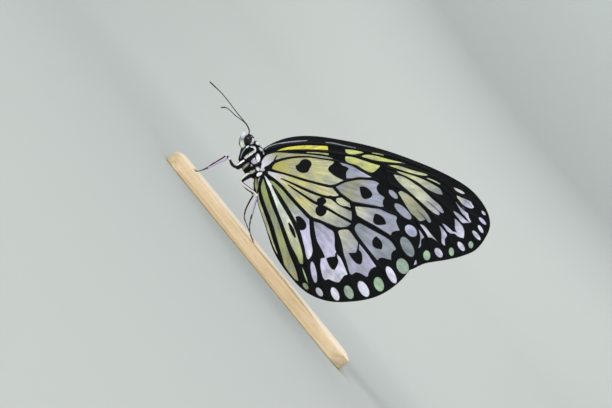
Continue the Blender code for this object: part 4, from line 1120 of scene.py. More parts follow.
# %% Body skin
def make_body_material():
    material, tree, shader = new_material("body_skin", Roughness=0.6, Sheen_Weight=0.03,
                                          Sheen_Roughness=0.4, Specular_IOR_Level=0.12)
    edge = use_group(tree, MARKING_EDGE, {"Distance": read_value(tree, "pale_distance"),
                                          "Softness": 0.07, "Ragged": 0.12, "Grain": 4.0})
    scales = use_group(tree, SCALE_LAYER, {"Fineness": 8.0, "Stretch": 0.6})
    fine = maths(tree, "MULTIPLY_ADD", scales.outputs["Tone"], 0.3, 0.8)
    pale = shaded(tree, read_colour(tree, "tint"), fine)
    black = blend_colours(tree, scales.outputs["Tone"], (0.002, 0.002, 0.004), (0.010, 0.009, 0.014))
    tree.links.new(blend_colours(tree, edge.outputs["Mask"], black, pale), shader.inputs["Base Color"])
    add_bump(tree, shader, scales.outputs["Height"], 0.5, 0.0001)
    return material


BODY_SKIN = make_body_material()
skin_mesh = BODY_MESH.copy()
store_pattern(skin_mesh, body_pattern(points_of(skin_mesh)))
place_mesh(skin_mesh, points_of(skin_mesh))
finish_mesh(skin_mesh, "body_skin", BODY_SKIN, ["head", "thorax", "abdomen"])

# %% [markdown]
# Scales and hairs stand on the skin as real mesh. One blade is drawn with operators, then copied to
# thousands of places with arrays. Each takes its colour from the marking under its root, and its spot
# in the texture map is a small patch at the root's own place on the body, unrolled round its axis.

# %% Coat of scales and hairs
BLADE_PATCH = 0.003               # size of a blade's patch in the texture map
BLADE_DROOP = 0.12
ROOT_DEPTH = 0.04
SWERVE = math.radians(14)         # spread of the blades' directions
LIFT_SPREAD = (0.5, 1.5)          # lowest and highest share of the given lift, length, width and tone
LENGTH_SPREAD = (0.65, 1.35)
WIDTH_SPREAD = (0.7, 1.3)
TONE_SPREAD = (0.75, 1.15)


def blade_shape():
    """One flat tapering blade along z, as corner places and triangles."""
    bm = bmesh.new()
    bmesh.ops.create_cone(bm, cap_ends=True, cap_tris=True, segments=3, radius1=0.5, radius2=0.0, depth=1.0,
                          matrix=Matrix.Translation((0, 0, 0.5)))
    geometry = list(bm.verts) + list(bm.edges) + list(bm.faces)
    bmesh.ops.bisect_plane(bm, geom=geometry, plane_co=(0, 0, 0.5), plane_no=(0, 0, 1))
    for vert in bm.verts:
        if 0.4 < vert.co.z < 0.6:
            vert.co.xy *= 1.7
        vert.co.y *= 0.35
    bmesh.ops.remove_doubles(bm, verts=bm.verts, dist=1e-4)
    bmesh.ops.recalc_face_normals(bm, faces=bm.faces)
    bmesh.ops.triangulate(bm, faces=bm.faces)
    bm.verts.index_update()
    corners = np.array([vert.co for vert in bm.verts])
    triangles = np.array([[vert.index for vert in face.verts] for face in bm.faces])
    bm.free()
    return corners, triangles


BLADE_CORNERS, BLADE_TRIANGLES = blade_shape()
print("one blade has", len(BLADE_TRIANGLES), "triangles")


def unit_rows(vectors):
    return vectors / np.maximum(np.linalg.norm(vectors, axis=1, keepdims=True), 1e-9)


def scatter(mesh, per_square, wanted, rng):
    """Random roots on the faces whose centres are wanted: places and surface directions."""
    mesh.calc_loop_triangles()
    corners = np.empty(len(mesh.loop_triangles) * 3, int)
    mesh.loop_triangles.foreach_get("vertices", corners)
    triangles = points_of(mesh)[corners.reshape(-1, 3)]
    triangles = triangles[wanted(triangles.mean(axis=1))]
    normals = np.cross(triangles[:, 1] - triangles[:, 0], triangles[:, 2] - triangles[:, 0])
    areas = np.linalg.norm(normals, axis=1) / 2
    count = int(areas.sum() * per_square)
    chosen = rng.choice(len(triangles), count, p=areas / areas.sum())
    first, second = rng.random((2, count, 1))
    flip = (first + second) > 1.0
    first, second = np.where(flip, 1.0 - first, first), np.where(flip, 1.0 - second, second)
    base = triangles[chosen]
    places = base[:, 0] + first * (base[:, 1] - base[:, 0]) + second * (base[:, 2] - base[:, 0])
    return places, unit_rows(normals[chosen])


def grow_coat(name, mesh, wanted, lie, colours, patch_of, *, per_square, length, width, lift, seed):
    """Blades over part of a skin: lie gives their direction, lift how steeply they stand, in degrees."""
    rng = np.random.default_rng(seed)
    roots, normals = scatter(mesh, per_square, wanted, rng)
    flow = lie(roots)
    flow = unit_rows(flow - normals * np.sum(flow * normals, axis=1, keepdims=True))
    across = np.cross(normals, flow)
    swerve = rng.normal(0.0, SWERVE, (len(roots), 1))
    flow = flow * np.cos(swerve) + across * np.sin(swerve)
    rise = np.radians(lift * rng.uniform(*LIFT_SPREAD, (len(roots), 1)))
    along = flow * np.cos(rise) + normals * np.sin(rise)
    across = unit_rows(np.cross(normals, along))
    up = np.cross(along, across)
    long = length * rng.uniform(*LENGTH_SPREAD, (len(roots), 1, 1))
    wide = width * rng.uniform(*WIDTH_SPREAD, (len(roots), 1, 1))
    shape = BLADE_CORNERS[None]
    droop = -BLADE_DROOP * shape[:, :, 2:] ** 2 * long
    corners = (roots[:, None] - normals[:, None] * ROOT_DEPTH + across[:, None] * shape[:, :, :1] * wide
               + up[:, None] * (shape[:, :, 1:2] * wide + droop) + along[:, None] * shape[:, :, 2:] * long)
    blade_corners = len(BLADE_CORNERS)
    first_corners = np.arange(len(roots))[:, None, None] * blade_corners
    triangles = (BLADE_TRIANGLES[None] + first_corners).reshape(-1, 3)
    coat = bpy.data.meshes.new(name)
    coat.from_pydata(corners.reshape(-1, 3), [], triangles)
    shade = colours(roots) * rng.uniform(*TONE_SPREAD, (len(roots), 1))
    store_colour(coat, "tint", np.repeat(np.clip(shade, 0.0, 1.0), blade_corners, axis=0))
    patch = patch_of(roots)[:, None] + (BLADE_CORNERS[None, :, [0, 2]] - (0.0, 0.5)) * BLADE_PATCH
    uvs = np.clip(patch, 0.0, 1.0).reshape(-1, 2)[triangles.ravel()]
    coat.uv_layers.new(name="OFBake").data.foreach_set("uv", uvs.ravel())
    place_mesh(coat, points_of(coat))
    return finish_mesh(coat, name, SCALE_HAIR)


def make_hair_material():
    material, tree, shader = new_material("scale_hair", Roughness=0.5, Specular_IOR_Level=0.15)
    noise = add_node(tree, "ShaderNodeTexNoise", {"Vector": object_place(tree), "Scale": 9000.0})
    tone = maths(tree, "MULTIPLY_ADD", noise.outputs["Fac"], 0.3, 0.88)
    tree.links.new(shaded(tree, read_colour(tree, "tint"), tone), shader.inputs["Base Color"])
    tree.links.new(maths(tree, "MULTIPLY_ADD", noise.outputs["Fac"], 0.2, 0.45), shader.inputs["Roughness"])
    return material


SCALE_HAIR = make_hair_material()
BLACK_HAIR = np.array((0.005, 0.005, 0.008))
COAT_INSET = 0.1                  # pale scales are rooted this far inside a mark
MAP_MARGIN = 0.01


def marked(points):
    """The colour of a scale that is rooted here."""
    pale, tint = body_pattern(points)
    return np.where((pale < -COAT_INSET)[:, None], tint, BLACK_HAIR)


def unrolled(start, end):
    """Places on a form unrolled round its axis: turn across, distance along up."""
    start, end = np.array(start), np.array(end)
    axis = (end - start) / np.linalg.norm(end - start)
    front = np.cross((0.0, 1.0, 0.0), axis)

    def patch_of(points):
        part = (points - start) @ axis / np.linalg.norm(end - start)
        out = points - start - np.outer(part, end - start)
        turn = np.arctan2(out[:, 1], out @ front) / (2 * np.pi) + 0.5
        inside = np.column_stack([turn, np.clip(part, 0.0, 1.0)])
        return MAP_MARGIN + inside * (1.0 - 2 * MAP_MARGIN)
    return patch_of


def lie_down(points):
    return np.tile((0.25, 0.0, -1.0), (len(points), 1))


NECK_LEVEL = 6.55
TAIL_LEVEL = -3.3
HEAD_WHORL = (-5.6, 0.0, 7.2)     # hairs of the head point away from here
grow_coat("thorax_coat", BODY_MESH, lambda at: (at[:, 2] < NECK_LEVEL) & (at[:, 2] > TAIL_LEVEL),
          lie_down, marked, unrolled((-3.3, 0, 6.9), (-1.0, 0, -3.3)),
          per_square=62, length=0.5, width=0.1, lift=16, seed=11)
grow_coat("abdomen_coat", BODY_MESH, lambda at: at[:, 2] <= TAIL_LEVEL,
          lie_down, marked, unrolled((-1.6, 0, -3.2), (10.9, 0, -28.3)),
          per_square=45, length=0.34, width=0.12, lift=10, seed=12)
grow_coat("head_coat", BODY_MESH, lambda at: at[:, 2] >= NECK_LEVEL,
          lambda at: at - HEAD_WHORL, marked, unrolled((-3.85, 0, 9.7), (-3.85, 0, 6.0)),
          per_square=120, length=0.34, width=0.07, lift=24, seed=13)

# %% [markdown]
# The head carries big faceted eyes, a pair of palps with a hairy white side, and a tongue coiled
# between them. Each is a piece of its own, as it is on the insect.

# %% Eyes
EYE_CENTRE = (-4.15, 1.4, 7.75)
EYE_HALF = (1.2, 0.78, 1.3)


def make_eye_material():
    material, tree, shader = new_material("compound_eye", Roughness=0.2, Specular_IOR_Level=0.15,
                                          Coat_Weight=0.3, Coat_Roughness=0.05)
    place = object_place(tree)
    facets = add_node(tree, "ShaderNodeTexVoronoi", {"Vector": place, "Scale": 16000.0})
    noise = add_node(tree, "ShaderNodeTexNoise", {"Vector": place, "Scale": 900.0})
    colour = blend_colours(tree, noise.outputs["Fac"], (0.002, 0.002, 0.004), (0.014, 0.010, 0.012))
    tree.links.new(colour, shader.inputs["Base Color"])
    add_bump(tree, shader, facets.outputs["Distance"], 0.25, 0.00002, invert=True)
    return material


COMPOUND_EYE = make_eye_material()
for side, hand in SIDES:
    bm = bmesh.new()
    ball(bm, (EYE_CENTRE[0], side * EYE_CENTRE[1], EYE_CENTRE[2]), EYE_HALF, detail=48)
    finish_piece(bm, f"{hand}_eye", COMPOUND_EYE, [f"eye_{hand}"])

# %% [markdown]
# A limb's spine is a smooth line with a radius at each row. Real legs are much thinner than they
# look under their scales, with a knee, and a foot of five short segments that ends in two claws.

# %% Limb spines
COXA_MID = [(-4.4, 1.5, 2.1, 1.0), (-6.2, 2.0, 0.6, 0.9), (-7.3, 2.4, -0.45, 0.62), (-7.8, 2.7, -0.6, 0.4)]
COXA_HIND = [(-2.2, 1.3, -1.9, 1.0), (-4.4, 2.0, -3.0, 0.9), (-5.8, 2.7, -4.1, 0.6), (-6.3, 3.0, -4.7, 0.42)]
MIDLEG_LEFT = [
    (-7.4, 2.5, -0.5, 0.42), (-8.3, 3.3, -0.1, 0.44), (-9.0, 4.1, 0.6, 0.4), (-9.7, 5.4, 2.1, 0.3),
    (-11.0, 5.6, 1.65, 0.28), (-15.8, 5.0, -0.6, 0.2), (-17.2, 4.8, -1.2, 0.14),
    (-19.35, 4.6, -1.72, 0.12), (-20.4, 4.5, -1.9, 0.1)]
MIDLEG_RIGHT = [
    (-7.4, 2.5, -0.5, 0.36), (-8.3, 3.3, -0.1, 0.38), (-9.3, 4.3, 1.0, 0.36), (-10.9, 5.5, 3.2, 0.28),
    (-12.0, 5.5, 2.6, 0.24), (-15.0, 5.0, 0.8, 0.2), (-17.4, 4.7, -0.7, 0.13),
    (-19.2, 4.6, -1.45, 0.12), (-20.3, 4.5, -1.8, 0.1)]
HINDLEG_LEFT = [
    (-5.9, 2.7, -4.2, 0.46), (-6.0, 3.1, -5.0, 0.46), (-4.2, 4.1, -6.5, 0.46), (-1.5, 5.2, -8.7, 0.32),
    (-1.9, 5.4, -11.2, 0.28), (-2.8, 5.4, -14.4, 0.24), (-3.5, 5.2, -17.4, 0.18),
    (-3.45, 5.1, -19.6, 0.13), (-2.95, 5.0, -21.5, 0.12), (-2.6, 5.0, -22.4, 0.1)]
HINDLEG_RIGHT = [
    (-5.9, 2.7, -4.2, 0.4), (-6.0, 3.1, -5.0, 0.38), (-4.7, 4.0, -6.7, 0.38), (-2.9, 5.2, -8.4, 0.3),
    (-3.9, 5.3, -10.6, 0.26), (-5.1, 5.3, -13.2, 0.22), (-5.45, 5.2, -15.6, 0.17),
    (-4.6, 5.1, -18.0, 0.13), (-3.5, 5.0, -20.8, 0.12), (-3.0, 5.0, -22.2, 0.1)]
KNEE_ROW = 3                      # the rows of a leg at its knee and at its ankle
ANKLE_ROW = 5
FORELEG = [(-4.1, 1.2, 5.9, 0.42), (-5.2, 1.8, 4.9, 0.58), (-6.2, 2.0, 3.2, 0.55), (-6.85, 1.9, 1.5, 0.25)]
LIMB_STEP = 0.22
LEVEL = np.array((-math.sin(LEAN), 0.0, -math.cos(LEAN)))       # straight down, in the side view
FORWARD = np.array((-math.cos(LEAN), 0.0, math.sin(LEAN)))      # along the base, towards the head
FOOT_RADIUS = 0.12
TOE_LENGTH = 0.9
LEG_ROWS_KEPT = 4                 # one row in four of a leg's line is kept when its foot is laid down


def mirrored(spine, side):
    return np.array([(x, side * y, z, *rest) for x, y, z, *rest in spine], float)


def down_to_base(spine, toe_way):
    """Ends a leg's spine on the base's top, with the last of the foot laid along it."""
    depth = (spine[:, :3] - np.array(FRONT_FOOT)) @ LEVEL - (FOOT_GAP - FOOT_RADIUS)
    last = int(np.argmax(depth > 0.0))
    part = -depth[last - 1] / (depth[last] - depth[last - 1])
    touch = spine[last - 1] + (spine[last] - spine[last - 1]) * part
    toe = touch.copy()
    toe[:3] += FORWARD * toe_way * TOE_LENGTH
    toe[3] = FOOT_RADIUS * 0.8
    kept = spine[:last - 1:LEG_ROWS_KEPT]
    return smooth_line(np.vstack([kept, spine[last - 1], touch, toe]), LIMB_STEP)


def arc_lengths(spine):
    return np.append(0.0, np.cumsum(np.linalg.norm(np.diff(spine[:, :3], axis=0), axis=1)))


# %% [markdown]
# Legs are painted by the part of the leg and by the side of it that faces up: in the picture the near
# legs have a white or lilac line along a black femur and shin, and rust brown feet.

# %% Limb material
LIMB_TINTS = {"black": (0.05, 0.045, 0.06), "lilac": (0.72, 0.70, 0.86), "rust": (0.34, 0.14, 0.09),
              "brown": (0.20, 0.12, 0.11), "chalk": (0.88, 0.88, 0.92)}


def make_cuticle(name, roughness, grooves):
    material, tree, shader = new_material(name, Roughness=roughness, Specular_IOR_Level=0.3)
    scales = use_group(tree, SCALE_LAYER, {"Fineness": 14.0, "Stretch": 1.0})
    tone = maths(tree, "MULTIPLY_ADD", scales.outputs["Tone"], 0.35, 0.75)
    tree.links.new(shaded(tree, read_colour(tree, "tint"), tone), shader.inputs["Base Color"])
    waves = maths(tree, "SINE", maths(tree, "MULTIPLY", read_value(tree, "along"), grooves))
    height = maths(tree, "MULTIPLY_ADD", waves, 0.5, scales.outputs["Height"])
    add_bump(tree, shader, height, 0.4, 0.00005)
    return material


LIMB_CUTICLE = make_cuticle("limb_scales", 0.45, 6.0)
FEELER_CUTICLE = make_cuticle("feeler_rings", 0.5, 14.0)

# %% [markdown]
# Each leg is swept along its line and swells at knee and ankle and at each segment of the foot. Small
# cones make the rows of spines on the shin and foot, the two spurs at the ankle and the two claws.

# %% Legs
SPINE_LENGTH = 0.42
SPINE_RADIUS = 0.035
SPINES_FROM_KNEE = 0.6
SPUR_LENGTH = 0.9
SPUR_RADIUS = 0.06
CLAW_LENGTH = 0.42
CLAW_RADIUS = 0.05
JOINT_SWELL = 0.28
KNEE_WIDTH = 0.35
ANKLE_WIDTH = 0.3
FOOT_SEGMENTS = 5
FOOT_WAIST = 0.22
PALE_SHIN = 0.25                  # pale scales cover what faces upwards less than this
PALE_FEMUR = 0.3


def thorn(bm, root, way, length, radius):
    """A thin pointed bristle, spur or claw."""
    turn = Vector(way).to_track_quat("Z", "X").to_matrix().to_4x4()
    place = Matrix.Translation(root) @ turn @ Matrix.Translation((0, 0, length / 2))
    bmesh.ops.create_cone(bm, cap_ends=True, cap_tris=True, segments=5, radius1=radius, radius2=radius * 0.12,
                          depth=length, matrix=place)


def leg_tints(points, spine, knee, ankle, far, pale_femur):
    """Colours of a leg: its own line of pale scales, rusty towards the foot; far legs are painted as in
    shade: rust, with no pale line along femur and shin.
    """
    lengths = arc_lengths(spine)
    nearest = np.array([np.argmin(np.linalg.norm(spine[:, :3] - point, axis=1)) for point in points])
    along = lengths[nearest]
    out = points - spine[nearest, :3]
    facing = out @ -LEVEL / np.maximum(np.linalg.norm(out, axis=1), 1e-6)
    colours = np.tile(linear(LIMB_TINTS["black"]), (len(points), 1))
    foot = along > ankle
    # painted shade: the far legs take rust in place of brown and black, and lose their pale lines
    colours[foot] = linear(LIMB_TINTS["rust" if far else "brown"])
    shin = (along > knee) & ~foot
    colours[shin] = linear(LIMB_TINTS["rust" if far else "black"])
    if not far:
        colours[shin & (facing < PALE_SHIN)] = linear(LIMB_TINTS["lilac"])
        colours[(along < knee) & (facing < PALE_FEMUR) & pale_femur] = linear(LIMB_TINTS["chalk"])
    colours[np.abs(along - knee) < KNEE_WIDTH] = linear(LIMB_TINTS["chalk"])
    return along, colours


def make_leg(name, spine, toe_way, node, far, seed):
    """A leg with knee, spurs, rows of spines and claws, from a spine that starts at its coxa's end."""
    rng = np.random.default_rng(seed)
    line = down_to_base(smooth_line(spine, LIMB_STEP), toe_way)
    lengths = arc_lengths(line)

    def reach_of(row):
        return lengths[np.argmin(np.linalg.norm(line[:, :3] - spine[row, :3], axis=1))]

    knee, ankle = reach_of(KNEE_ROW), reach_of(ANKLE_ROW)
    swell = 1.0 + JOINT_SWELL * np.exp(-((lengths - knee) / KNEE_WIDTH) ** 2)
    swell += JOINT_SWELL * np.exp(-((lengths - ankle) / ANKLE_WIDTH) ** 2)
    foot = np.clip((lengths - ankle) / (lengths[-1] - ankle), 0.0, 1.0)
    swell *= np.where(foot > 0.0, 1.0 - FOOT_WAIST * np.cos(2 * np.pi * FOOT_SEGMENTS * foot), 1.0)
    rows = np.column_stack([line[:, :3], line[:, 3] * swell, line[:, 3] * swell])
    bm = bmesh.new()
    sweep(bm, rounded_ends(rows), 14)
    headings = unit_rows(np.gradient(line[:, :3], axis=0))
    for k in range(len(line) - 6):
        if lengths[k] < knee + SPINES_FROM_KNEE:
            continue
        for hand in (-1.0, 1.0):
            side = Vector((0.0, hand, 0.0)) * 0.8 + Vector(LEVEL) * 0.7
            heading = Vector(headings[k])
            out = (side - heading * side.dot(heading)).normalized()
            way = (out * 0.6 + heading * rng.uniform(0.7, 1.1)).normalized()
            thorn(bm, Vector(line[k, :3]) + out * line[k, 3] * 0.7, way,
                  SPINE_LENGTH * rng.uniform(0.7, 1.1), SPINE_RADIUS)
    at_ankle = int(np.argmin(np.abs(lengths - ankle)))
    for hand in (-1.0, 1.0):
        way = Vector(headings[at_ankle]) + Vector((0.0, hand * 0.5, 0.0)) + Vector(LEVEL) * 0.3
        thorn(bm, line[at_ankle, :3], way.normalized(), SPUR_LENGTH, SPUR_RADIUS)
        claw = Vector(FORWARD) * toe_way + Vector((0.0, hand * 0.55, 0.0))
        thorn(bm, line[-1, :3], claw.normalized(), CLAW_LENGTH, CLAW_RADIUS)
    mesh = mesh_of(bm, name)
    points = points_of(mesh)
    along, colours = leg_tints(points, line, knee, ankle, far, toe_way < 0)
    store(mesh, "along", along)
    store_colour(mesh, "tint", colours)
    place_mesh(mesh, points)
    return finish_mesh(mesh, name, LIMB_CUTICLE, [node])


for side, hand in SIDES:
    # the right legs are the far ones, which are painted as in shade
    far = side > 0
    make_leg(f"{hand}_midleg", mirrored(MIDLEG_RIGHT if far else MIDLEG_LEFT, side), 1.0,
             f"midleg_{hand}", far, 21 + side)
    make_leg(f"{hand}_hindleg", mirrored(HINDLEG_RIGHT if far else HINDLEG_LEFT, side), -1.0,
             f"hindleg_{hand}", far, 31 + side)

# %% [markdown]
# The first joint of each leg is as thick as a small muscle and carries the body's own bars, so the
# coxae take the body's skin and pattern. So do the short forelegs, held folded against the chest.

# %% Coxae and forelegs
for side, hand in SIDES:
    for name, spine, nodes in (("mid_coxa", COXA_MID, []), ("hind_coxa", COXA_HIND, []),
                               ("foreleg", FORELEG, [f"foreleg_{hand}"])):
        line = smooth_line(mirrored(spine, side), LIMB_STEP)
        bm = bmesh.new()
        sweep(bm, rounded_ends(np.column_stack([line, line[:, 3]])), 28)
        mesh = mesh_of(bm, name)
        points = points_of(mesh)
        store_pattern(mesh, body_pattern(points))
        place_mesh(mesh, points)
        finish_mesh(mesh, f"{hand}_{name}", BODY_SKIN, nodes)

# %% [markdown]
# Two palps stand up before the face like a pair of narrow white brushes with a black front edge. Each
# is a flattened sweep with hairs of its own, which point upwards and fan a little to the front.

# %% Palps
PALP = [(-4.9, 1.0, 6.1, 0.5), (-5.5, 1.0, 5.9, 0.75), (-5.95, 1.0, 6.7, 0.9), (-6.0, 1.0, 7.8, 0.76),
        (-5.65, 1.0, 9.0, 0.58), (-5.25, 1.0, 10.1, 0.22)]
PALP_FLATNESS = 0.5
PALP_FRONT = [(-5.2, 4.9, 0.3), (-6.0, 4.9, 0.34), (-6.8, 5.6, 0.42), (-7.0, 6.6, 0.44),
              (-6.95, 7.8, 0.32), (-6.5, 9.0, 0.24), (-6.0, 9.8, 0.16)]
PALP_TINTS = [(5.4, "frost"), (6.9, "frost"), (7.9, "ash"), (8.8, "chalk"), (10.0, "snow")]
PALP_HAIR_WAY = (0.15, 0.0, 1.0)
PALP_WHORL = (-5.6, 0.0, 7.5)
PALP_FAN = (0.25, 0.0, 0.0)


def palp_pattern(points):
    """Pale all over but for a black front edge, as body_pattern gives it."""
    pale = -band_distance(points[:, [0, 2]], smooth_line(PALP_FRONT, BAR_STEP))
    levels, names = zip(*PALP_TINTS)
    shades = np.array([linear(TINTS[name]) for name in names])
    return pale, np.stack([np.interp(points[:, 2], levels, band) for band in shades.T], axis=1)


def palp_marked(points):
    pale, tint = palp_pattern(points)
    return np.where((pale < 0.0)[:, None], tint, BLACK_HAIR)


for side, hand in SIDES:
    line = smooth_line(mirrored(PALP, side), 0.16)
    rows = rounded_ends(np.column_stack([line, line[:, 3]]))
    rows[:, 3] *= PALP_FLATNESS
    bm = bmesh.new()
    sweep(bm, rows, 24)
    palp_mesh = mesh_of(bm, "palp")
    grow_coat(f"{hand}_palp_hair", palp_mesh, lambda at: np.ones(len(at), bool),
              lambda at: np.array(PALP_HAIR_WAY) + (at - PALP_WHORL) * PALP_FAN,
              palp_marked, unrolled((-6.0, side, 5.6), (-5.4, side, 10.2)),
              per_square=130, length=0.3, width=0.07, lift=16, seed=41 + side)
    points = points_of(palp_mesh)
    store_pattern(palp_mesh, palp_pattern(points))
    place_mesh(palp_mesh, points)
    finish_mesh(palp_mesh, f"{hand}_palp", BODY_SKIN, [f"palp_{hand}"])

# %% [markdown]
# The tongue is a thin tube wound like a watch spring. Tongue and antennae are one kind of thread, made
# by one function from rows of places and radii, with fine rings as a bump along their length.

# %% Tongue and antennae
COIL_CENTRE = (-5.75, 6.2)
COIL_RADII = (0.9, 0.28)
COIL_TURNS = 1.2
COIL_START = math.radians(-45.0)
COIL_TUBE = 0.17
COIL_ROWS = 90
ANTENNA_LEFT = [(-4.0, 0.5, 9.0), (-3.85, 0.8, 10.6), (-4.6, 2.1, 12.3), (-5.7, 3.8, 13.4),
                (-7.8, 7.4, 14.9), (-9.2, 10.4, 16.2), (-10.2, 13.0, 16.8), (-11.5, 15.2, 16.7)]
ANTENNA_RIGHT = [(-4.0, 0.5, 9.0), (-3.8, 0.7, 10.7), (-4.4, 1.1, 12.2), (-5.3, 1.5, 13.4),
                 (-7.8, 2.4, 16.4), (-10.3, 3.3, 19.7), (-12.2, 4.0, 22.0), (-16.0, 5.2, 25.7)]
SHAFT_RADIUS = 0.14
CLUB_RADIUS = 0.2
CLUB_START = 0.78                 # shares of the antenna's length
CLUB_RISE = 0.14
SOCKET_SWELL = 0.6
SOCKET_SHARE = 0.04


def make_feeler(name, rows, near, far, node, sides=12):
    """A round thread with rings, coloured from its base to its tip."""
    bm = bmesh.new()
    sweep(bm, rounded_ends(rows), sides)
    mesh = mesh_of(bm, name)
    lengths = arc_lengths(rows)
    points = points_of(mesh)
    nearest = np.array([np.argmin(np.linalg.norm(rows[:, :3] - point, axis=1)) for point in points])
    part = (lengths[nearest] / lengths[-1])[:, None]
    store(mesh, "along", lengths[nearest])
    store_colour(mesh, "tint", np.array(linear(LIMB_TINTS[near])) * (1 - part)
                 + np.array(linear(LIMB_TINTS[far])) * part)
    place_mesh(mesh, points)
    return finish_mesh(mesh, name, FEELER_CUTICLE, [node])


turn = COIL_START + np.linspace(0.0, 1.0, COIL_ROWS) * COIL_TURNS * 2 * math.pi
coil = np.linspace(*COIL_RADII, COIL_ROWS)
tube = np.full(COIL_ROWS, COIL_TUBE)
make_feeler("tongue", np.column_stack([COIL_CENTRE[0] + coil * np.cos(turn), tube * 0.0,
                                       COIL_CENTRE[1] - coil * np.sin(turn), tube, tube]),
            "brown", "black", "proboscis", 16)
for (side, hand), spine in zip(SIDES, (ANTENNA_LEFT, ANTENNA_RIGHT)):
    line = smooth_line(mirrored(spine, side), 0.12)
    part = np.linspace(0.0, 1.0, len(line))
    club = SHAFT_RADIUS + (CLUB_RADIUS - SHAFT_RADIUS) * (1.0 - ease((part - CLUB_START) / CLUB_RISE))
    club *= 1.0 + SOCKET_SWELL * ease(part / SOCKET_SHARE)
    make_feeler(f"{hand}_antenna", np.column_stack([line, club, club]), "black", "brown",
                f"antenna_{hand}")

# %% [markdown]
# The base is a plain slab of pale wood, with its corners and top edge rounded over by bevels. Grain is
# a noise stretched along the board, with darker rings and fine pores on top of it.

# %% Wooden base
BASE_CORNER = 7.0                 # radius of the corners seen from above
BASE_EDGE = 0.8                   # radius of the rim at the top, and twice the one below


def make_wood():
    material, tree, shader = new_material("pale_wood", Roughness=0.5, Specular_IOR_Level=0.4)
    place = object_place(tree)
    long_way = add_node(tree, "ShaderNodeMapping", {"Vector": place, "Scale": (30.0, 420.0, 420.0)})
    rings = add_node(tree, "ShaderNodeTexNoise", {"Vector": long_way.outputs[0], "Scale": 1.0, "Detail": 3.0,
                                                  "Distortion": 1.2})
    pore_way = add_node(tree, "ShaderNodeMapping", {"Vector": place, "Scale": (350.0, 6000.0, 6000.0)})
    pores = add_node(tree, "ShaderNodeTexNoise", {"Vector": pore_way.outputs[0], "Scale": 1.0, "Detail": 2.0})
    bands = map_range(tree, rings.outputs["Fac"], 0.35, 0.65)
    wood = blend_colours(tree, bands, linear((0.80, 0.69, 0.54)), linear((0.88, 0.79, 0.65)))
    dark = map_range(tree, pores.outputs["Fac"], 0.55, 0.75, 0.0, 0.45)
    wood = blend_colours(tree, dark, wood, linear((0.62, 0.49, 0.35)))
    tree.links.new(wood, shader.inputs["Base Color"])
    tree.links.new(maths(tree, "MULTIPLY_ADD", pores.outputs["Fac"], 0.25, 0.38), shader.inputs["Roughness"])
    add_bump(tree, shader, pores.outputs["Fac"], 0.25, 0.0001, invert=True)
    return material


def make_base():
    low, high = (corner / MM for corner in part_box("stand_base"))
    size, centre = high - low, (high + low) / 2
    bm = bmesh.new()
    bmesh.ops.create_cube(bm, size=1.0, matrix=Matrix.Translation(centre) @ Matrix.Diagonal((*size, 1.0)))
    corners = [edge for edge in bm.edges if abs(edge.verts[0].co.z - edge.verts[1].co.z) > size.z / 2]
    bmesh.ops.bevel(bm, geom=corners, offset=BASE_CORNER, segments=16, affect="EDGES", profile=0.5,
                    material=-1)
    for level, rim_radius in ((high.z, BASE_EDGE), (low.z, BASE_EDGE / 2)):
        rim = [edge for edge in bm.edges if all(abs(vert.co.z - level) < 0.01 for vert in edge.verts)]
        bmesh.ops.bevel(bm, geom=rim, offset=rim_radius, segments=4, affect="EDGES", profile=0.5,
                        material=-1)
    piece = finish_piece(bm, "wooden_base", make_wood(), ["stand_base"],
                         place=Matrix.Scale(MM, 4))
    piece.data.set_sharp_from_angle(angle=math.radians(40))


make_base()

# %% [markdown]
# The stage is a round pale dish, spun from one profile: a flat floor that curves up into a wall. It has
# no horizon, so the tilted camera and every other view see an even ground. Its wall is paler towards
# the top, where less of the light arrives, so that it looks even. It isn't part of the model.

# %% Floor and backdrop
FLOOR_RADIUS = 0.6
WALL_CURVE = 0.6                  # radius of the curve from floor to wall
WALL_HEIGHT = 0.62
CURVE_STEPS = 12
DISH_STEPS = 96
PALER_LEVELS = (0.08, 0.42)       # heights between which the paper turns paler


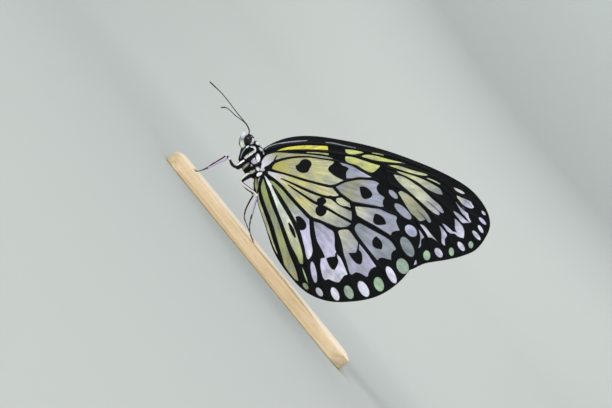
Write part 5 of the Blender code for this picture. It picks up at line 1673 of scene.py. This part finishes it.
def make_stage():
    material, tree, shader = new_material("pale_paper", Roughness=0.9, Specular_IOR_Level=0.2)
    place = object_place(tree)
    noise = add_node(tree, "ShaderNodeTexNoise", {"Vector": place, "Scale": 3.0})
    paper = blend_colours(tree, noise.outputs["Fac"], (0.41, 0.43, 0.41), (0.44, 0.46, 0.44))
    level = add_node(tree, "ShaderNodeSeparateXYZ", {"Vector": place})
    rise = map_range(tree, level.outputs["Z"], *PALER_LEVELS)
    tree.links.new(blend_colours(tree, rise, paper, (0.74, 0.77, 0.74)), shader.inputs["Base Color"])
    bm = bmesh.new()
    profile = [bm.verts.new((0.0, 0.0, 0.0)), bm.verts.new((FLOOR_RADIUS, 0.0, 0.0))]
    for k in range(1, CURVE_STEPS + 1):
        angle = k / CURVE_STEPS * math.pi / 2
        profile.append(bm.verts.new((FLOOR_RADIUS + WALL_CURVE * math.sin(angle), 0.0,
                                     WALL_CURVE * (1.0 - math.cos(angle)))))
    profile.append(bm.verts.new((FLOOR_RADIUS + WALL_CURVE, 0.0, WALL_HEIGHT)))
    edges = [bm.edges.new(pair) for pair in zip(profile, profile[1:])]
    bmesh.ops.spin(bm, geom=profile + edges, cent=(0, 0, 0), axis=(0, 0, 1), angle=2 * math.pi,
                   steps=DISH_STEPS, use_merge=True)
    bmesh.ops.remove_doubles(bm, verts=bm.verts, dist=1e-5)
    bmesh.ops.recalc_face_normals(bm, faces=bm.faces)
    mesh = mesh_of(bm, "backdrop")
    mesh.materials.append(material)
    mesh.shade_smooth()
    backdrop = bpy.data.objects.new("backdrop", mesh)
    bpy.context.scene.collection.objects.link(backdrop)


make_stage()

# %% [markdown]
# Three large soft lights stand a metre from the wings, as in a small studio: a key from the head's side,
# a weaker fill from the wing tips' side and one behind. A pale room lights what they don't reach.

# %% Lights
AIM = STAND @ Vector((20.0, 0.0, -12.0))


def add_light(name, way, distance, size, power, colour):
    """A square soft light that shines on the model from the given way."""
    light = bpy.data.lights.new(name, "AREA")
    light.size = size
    light.energy = power
    light.color = colour
    lamp = bpy.data.objects.new(name, light)
    bpy.context.scene.collection.objects.link(lamp)
    place = AIM + Vector(way).normalized() * distance
    turn = Vector(way).to_track_quat("Z", "Y").to_matrix().to_4x4()
    lamp.matrix_world = Matrix.Translation(place) @ turn


add_light("key_light", (-0.6, -1.0, 0.55), 1.0, 0.45, 6.0, (1.0, 0.985, 0.96))
add_light("fill_light", (0.9, -0.9, 0.5), 1.0, 0.6, 2.0, (0.93, 0.96, 1.0))
add_light("back_light", (0.1, 0.9, 0.6), 1.0, 0.5, 3.5, (1.0, 1.0, 1.0))
room = bpy.data.worlds.new("room")
room.use_nodes = True
air = room.node_tree.nodes["Background"]
air.inputs["Color"].default_value = (0.92, 0.96, 1.0, 1.0)
air.inputs["Strength"].default_value = 0.7
bpy.context.scene.world = room
bpy.context.scene.view_settings.view_transform = "Standard"
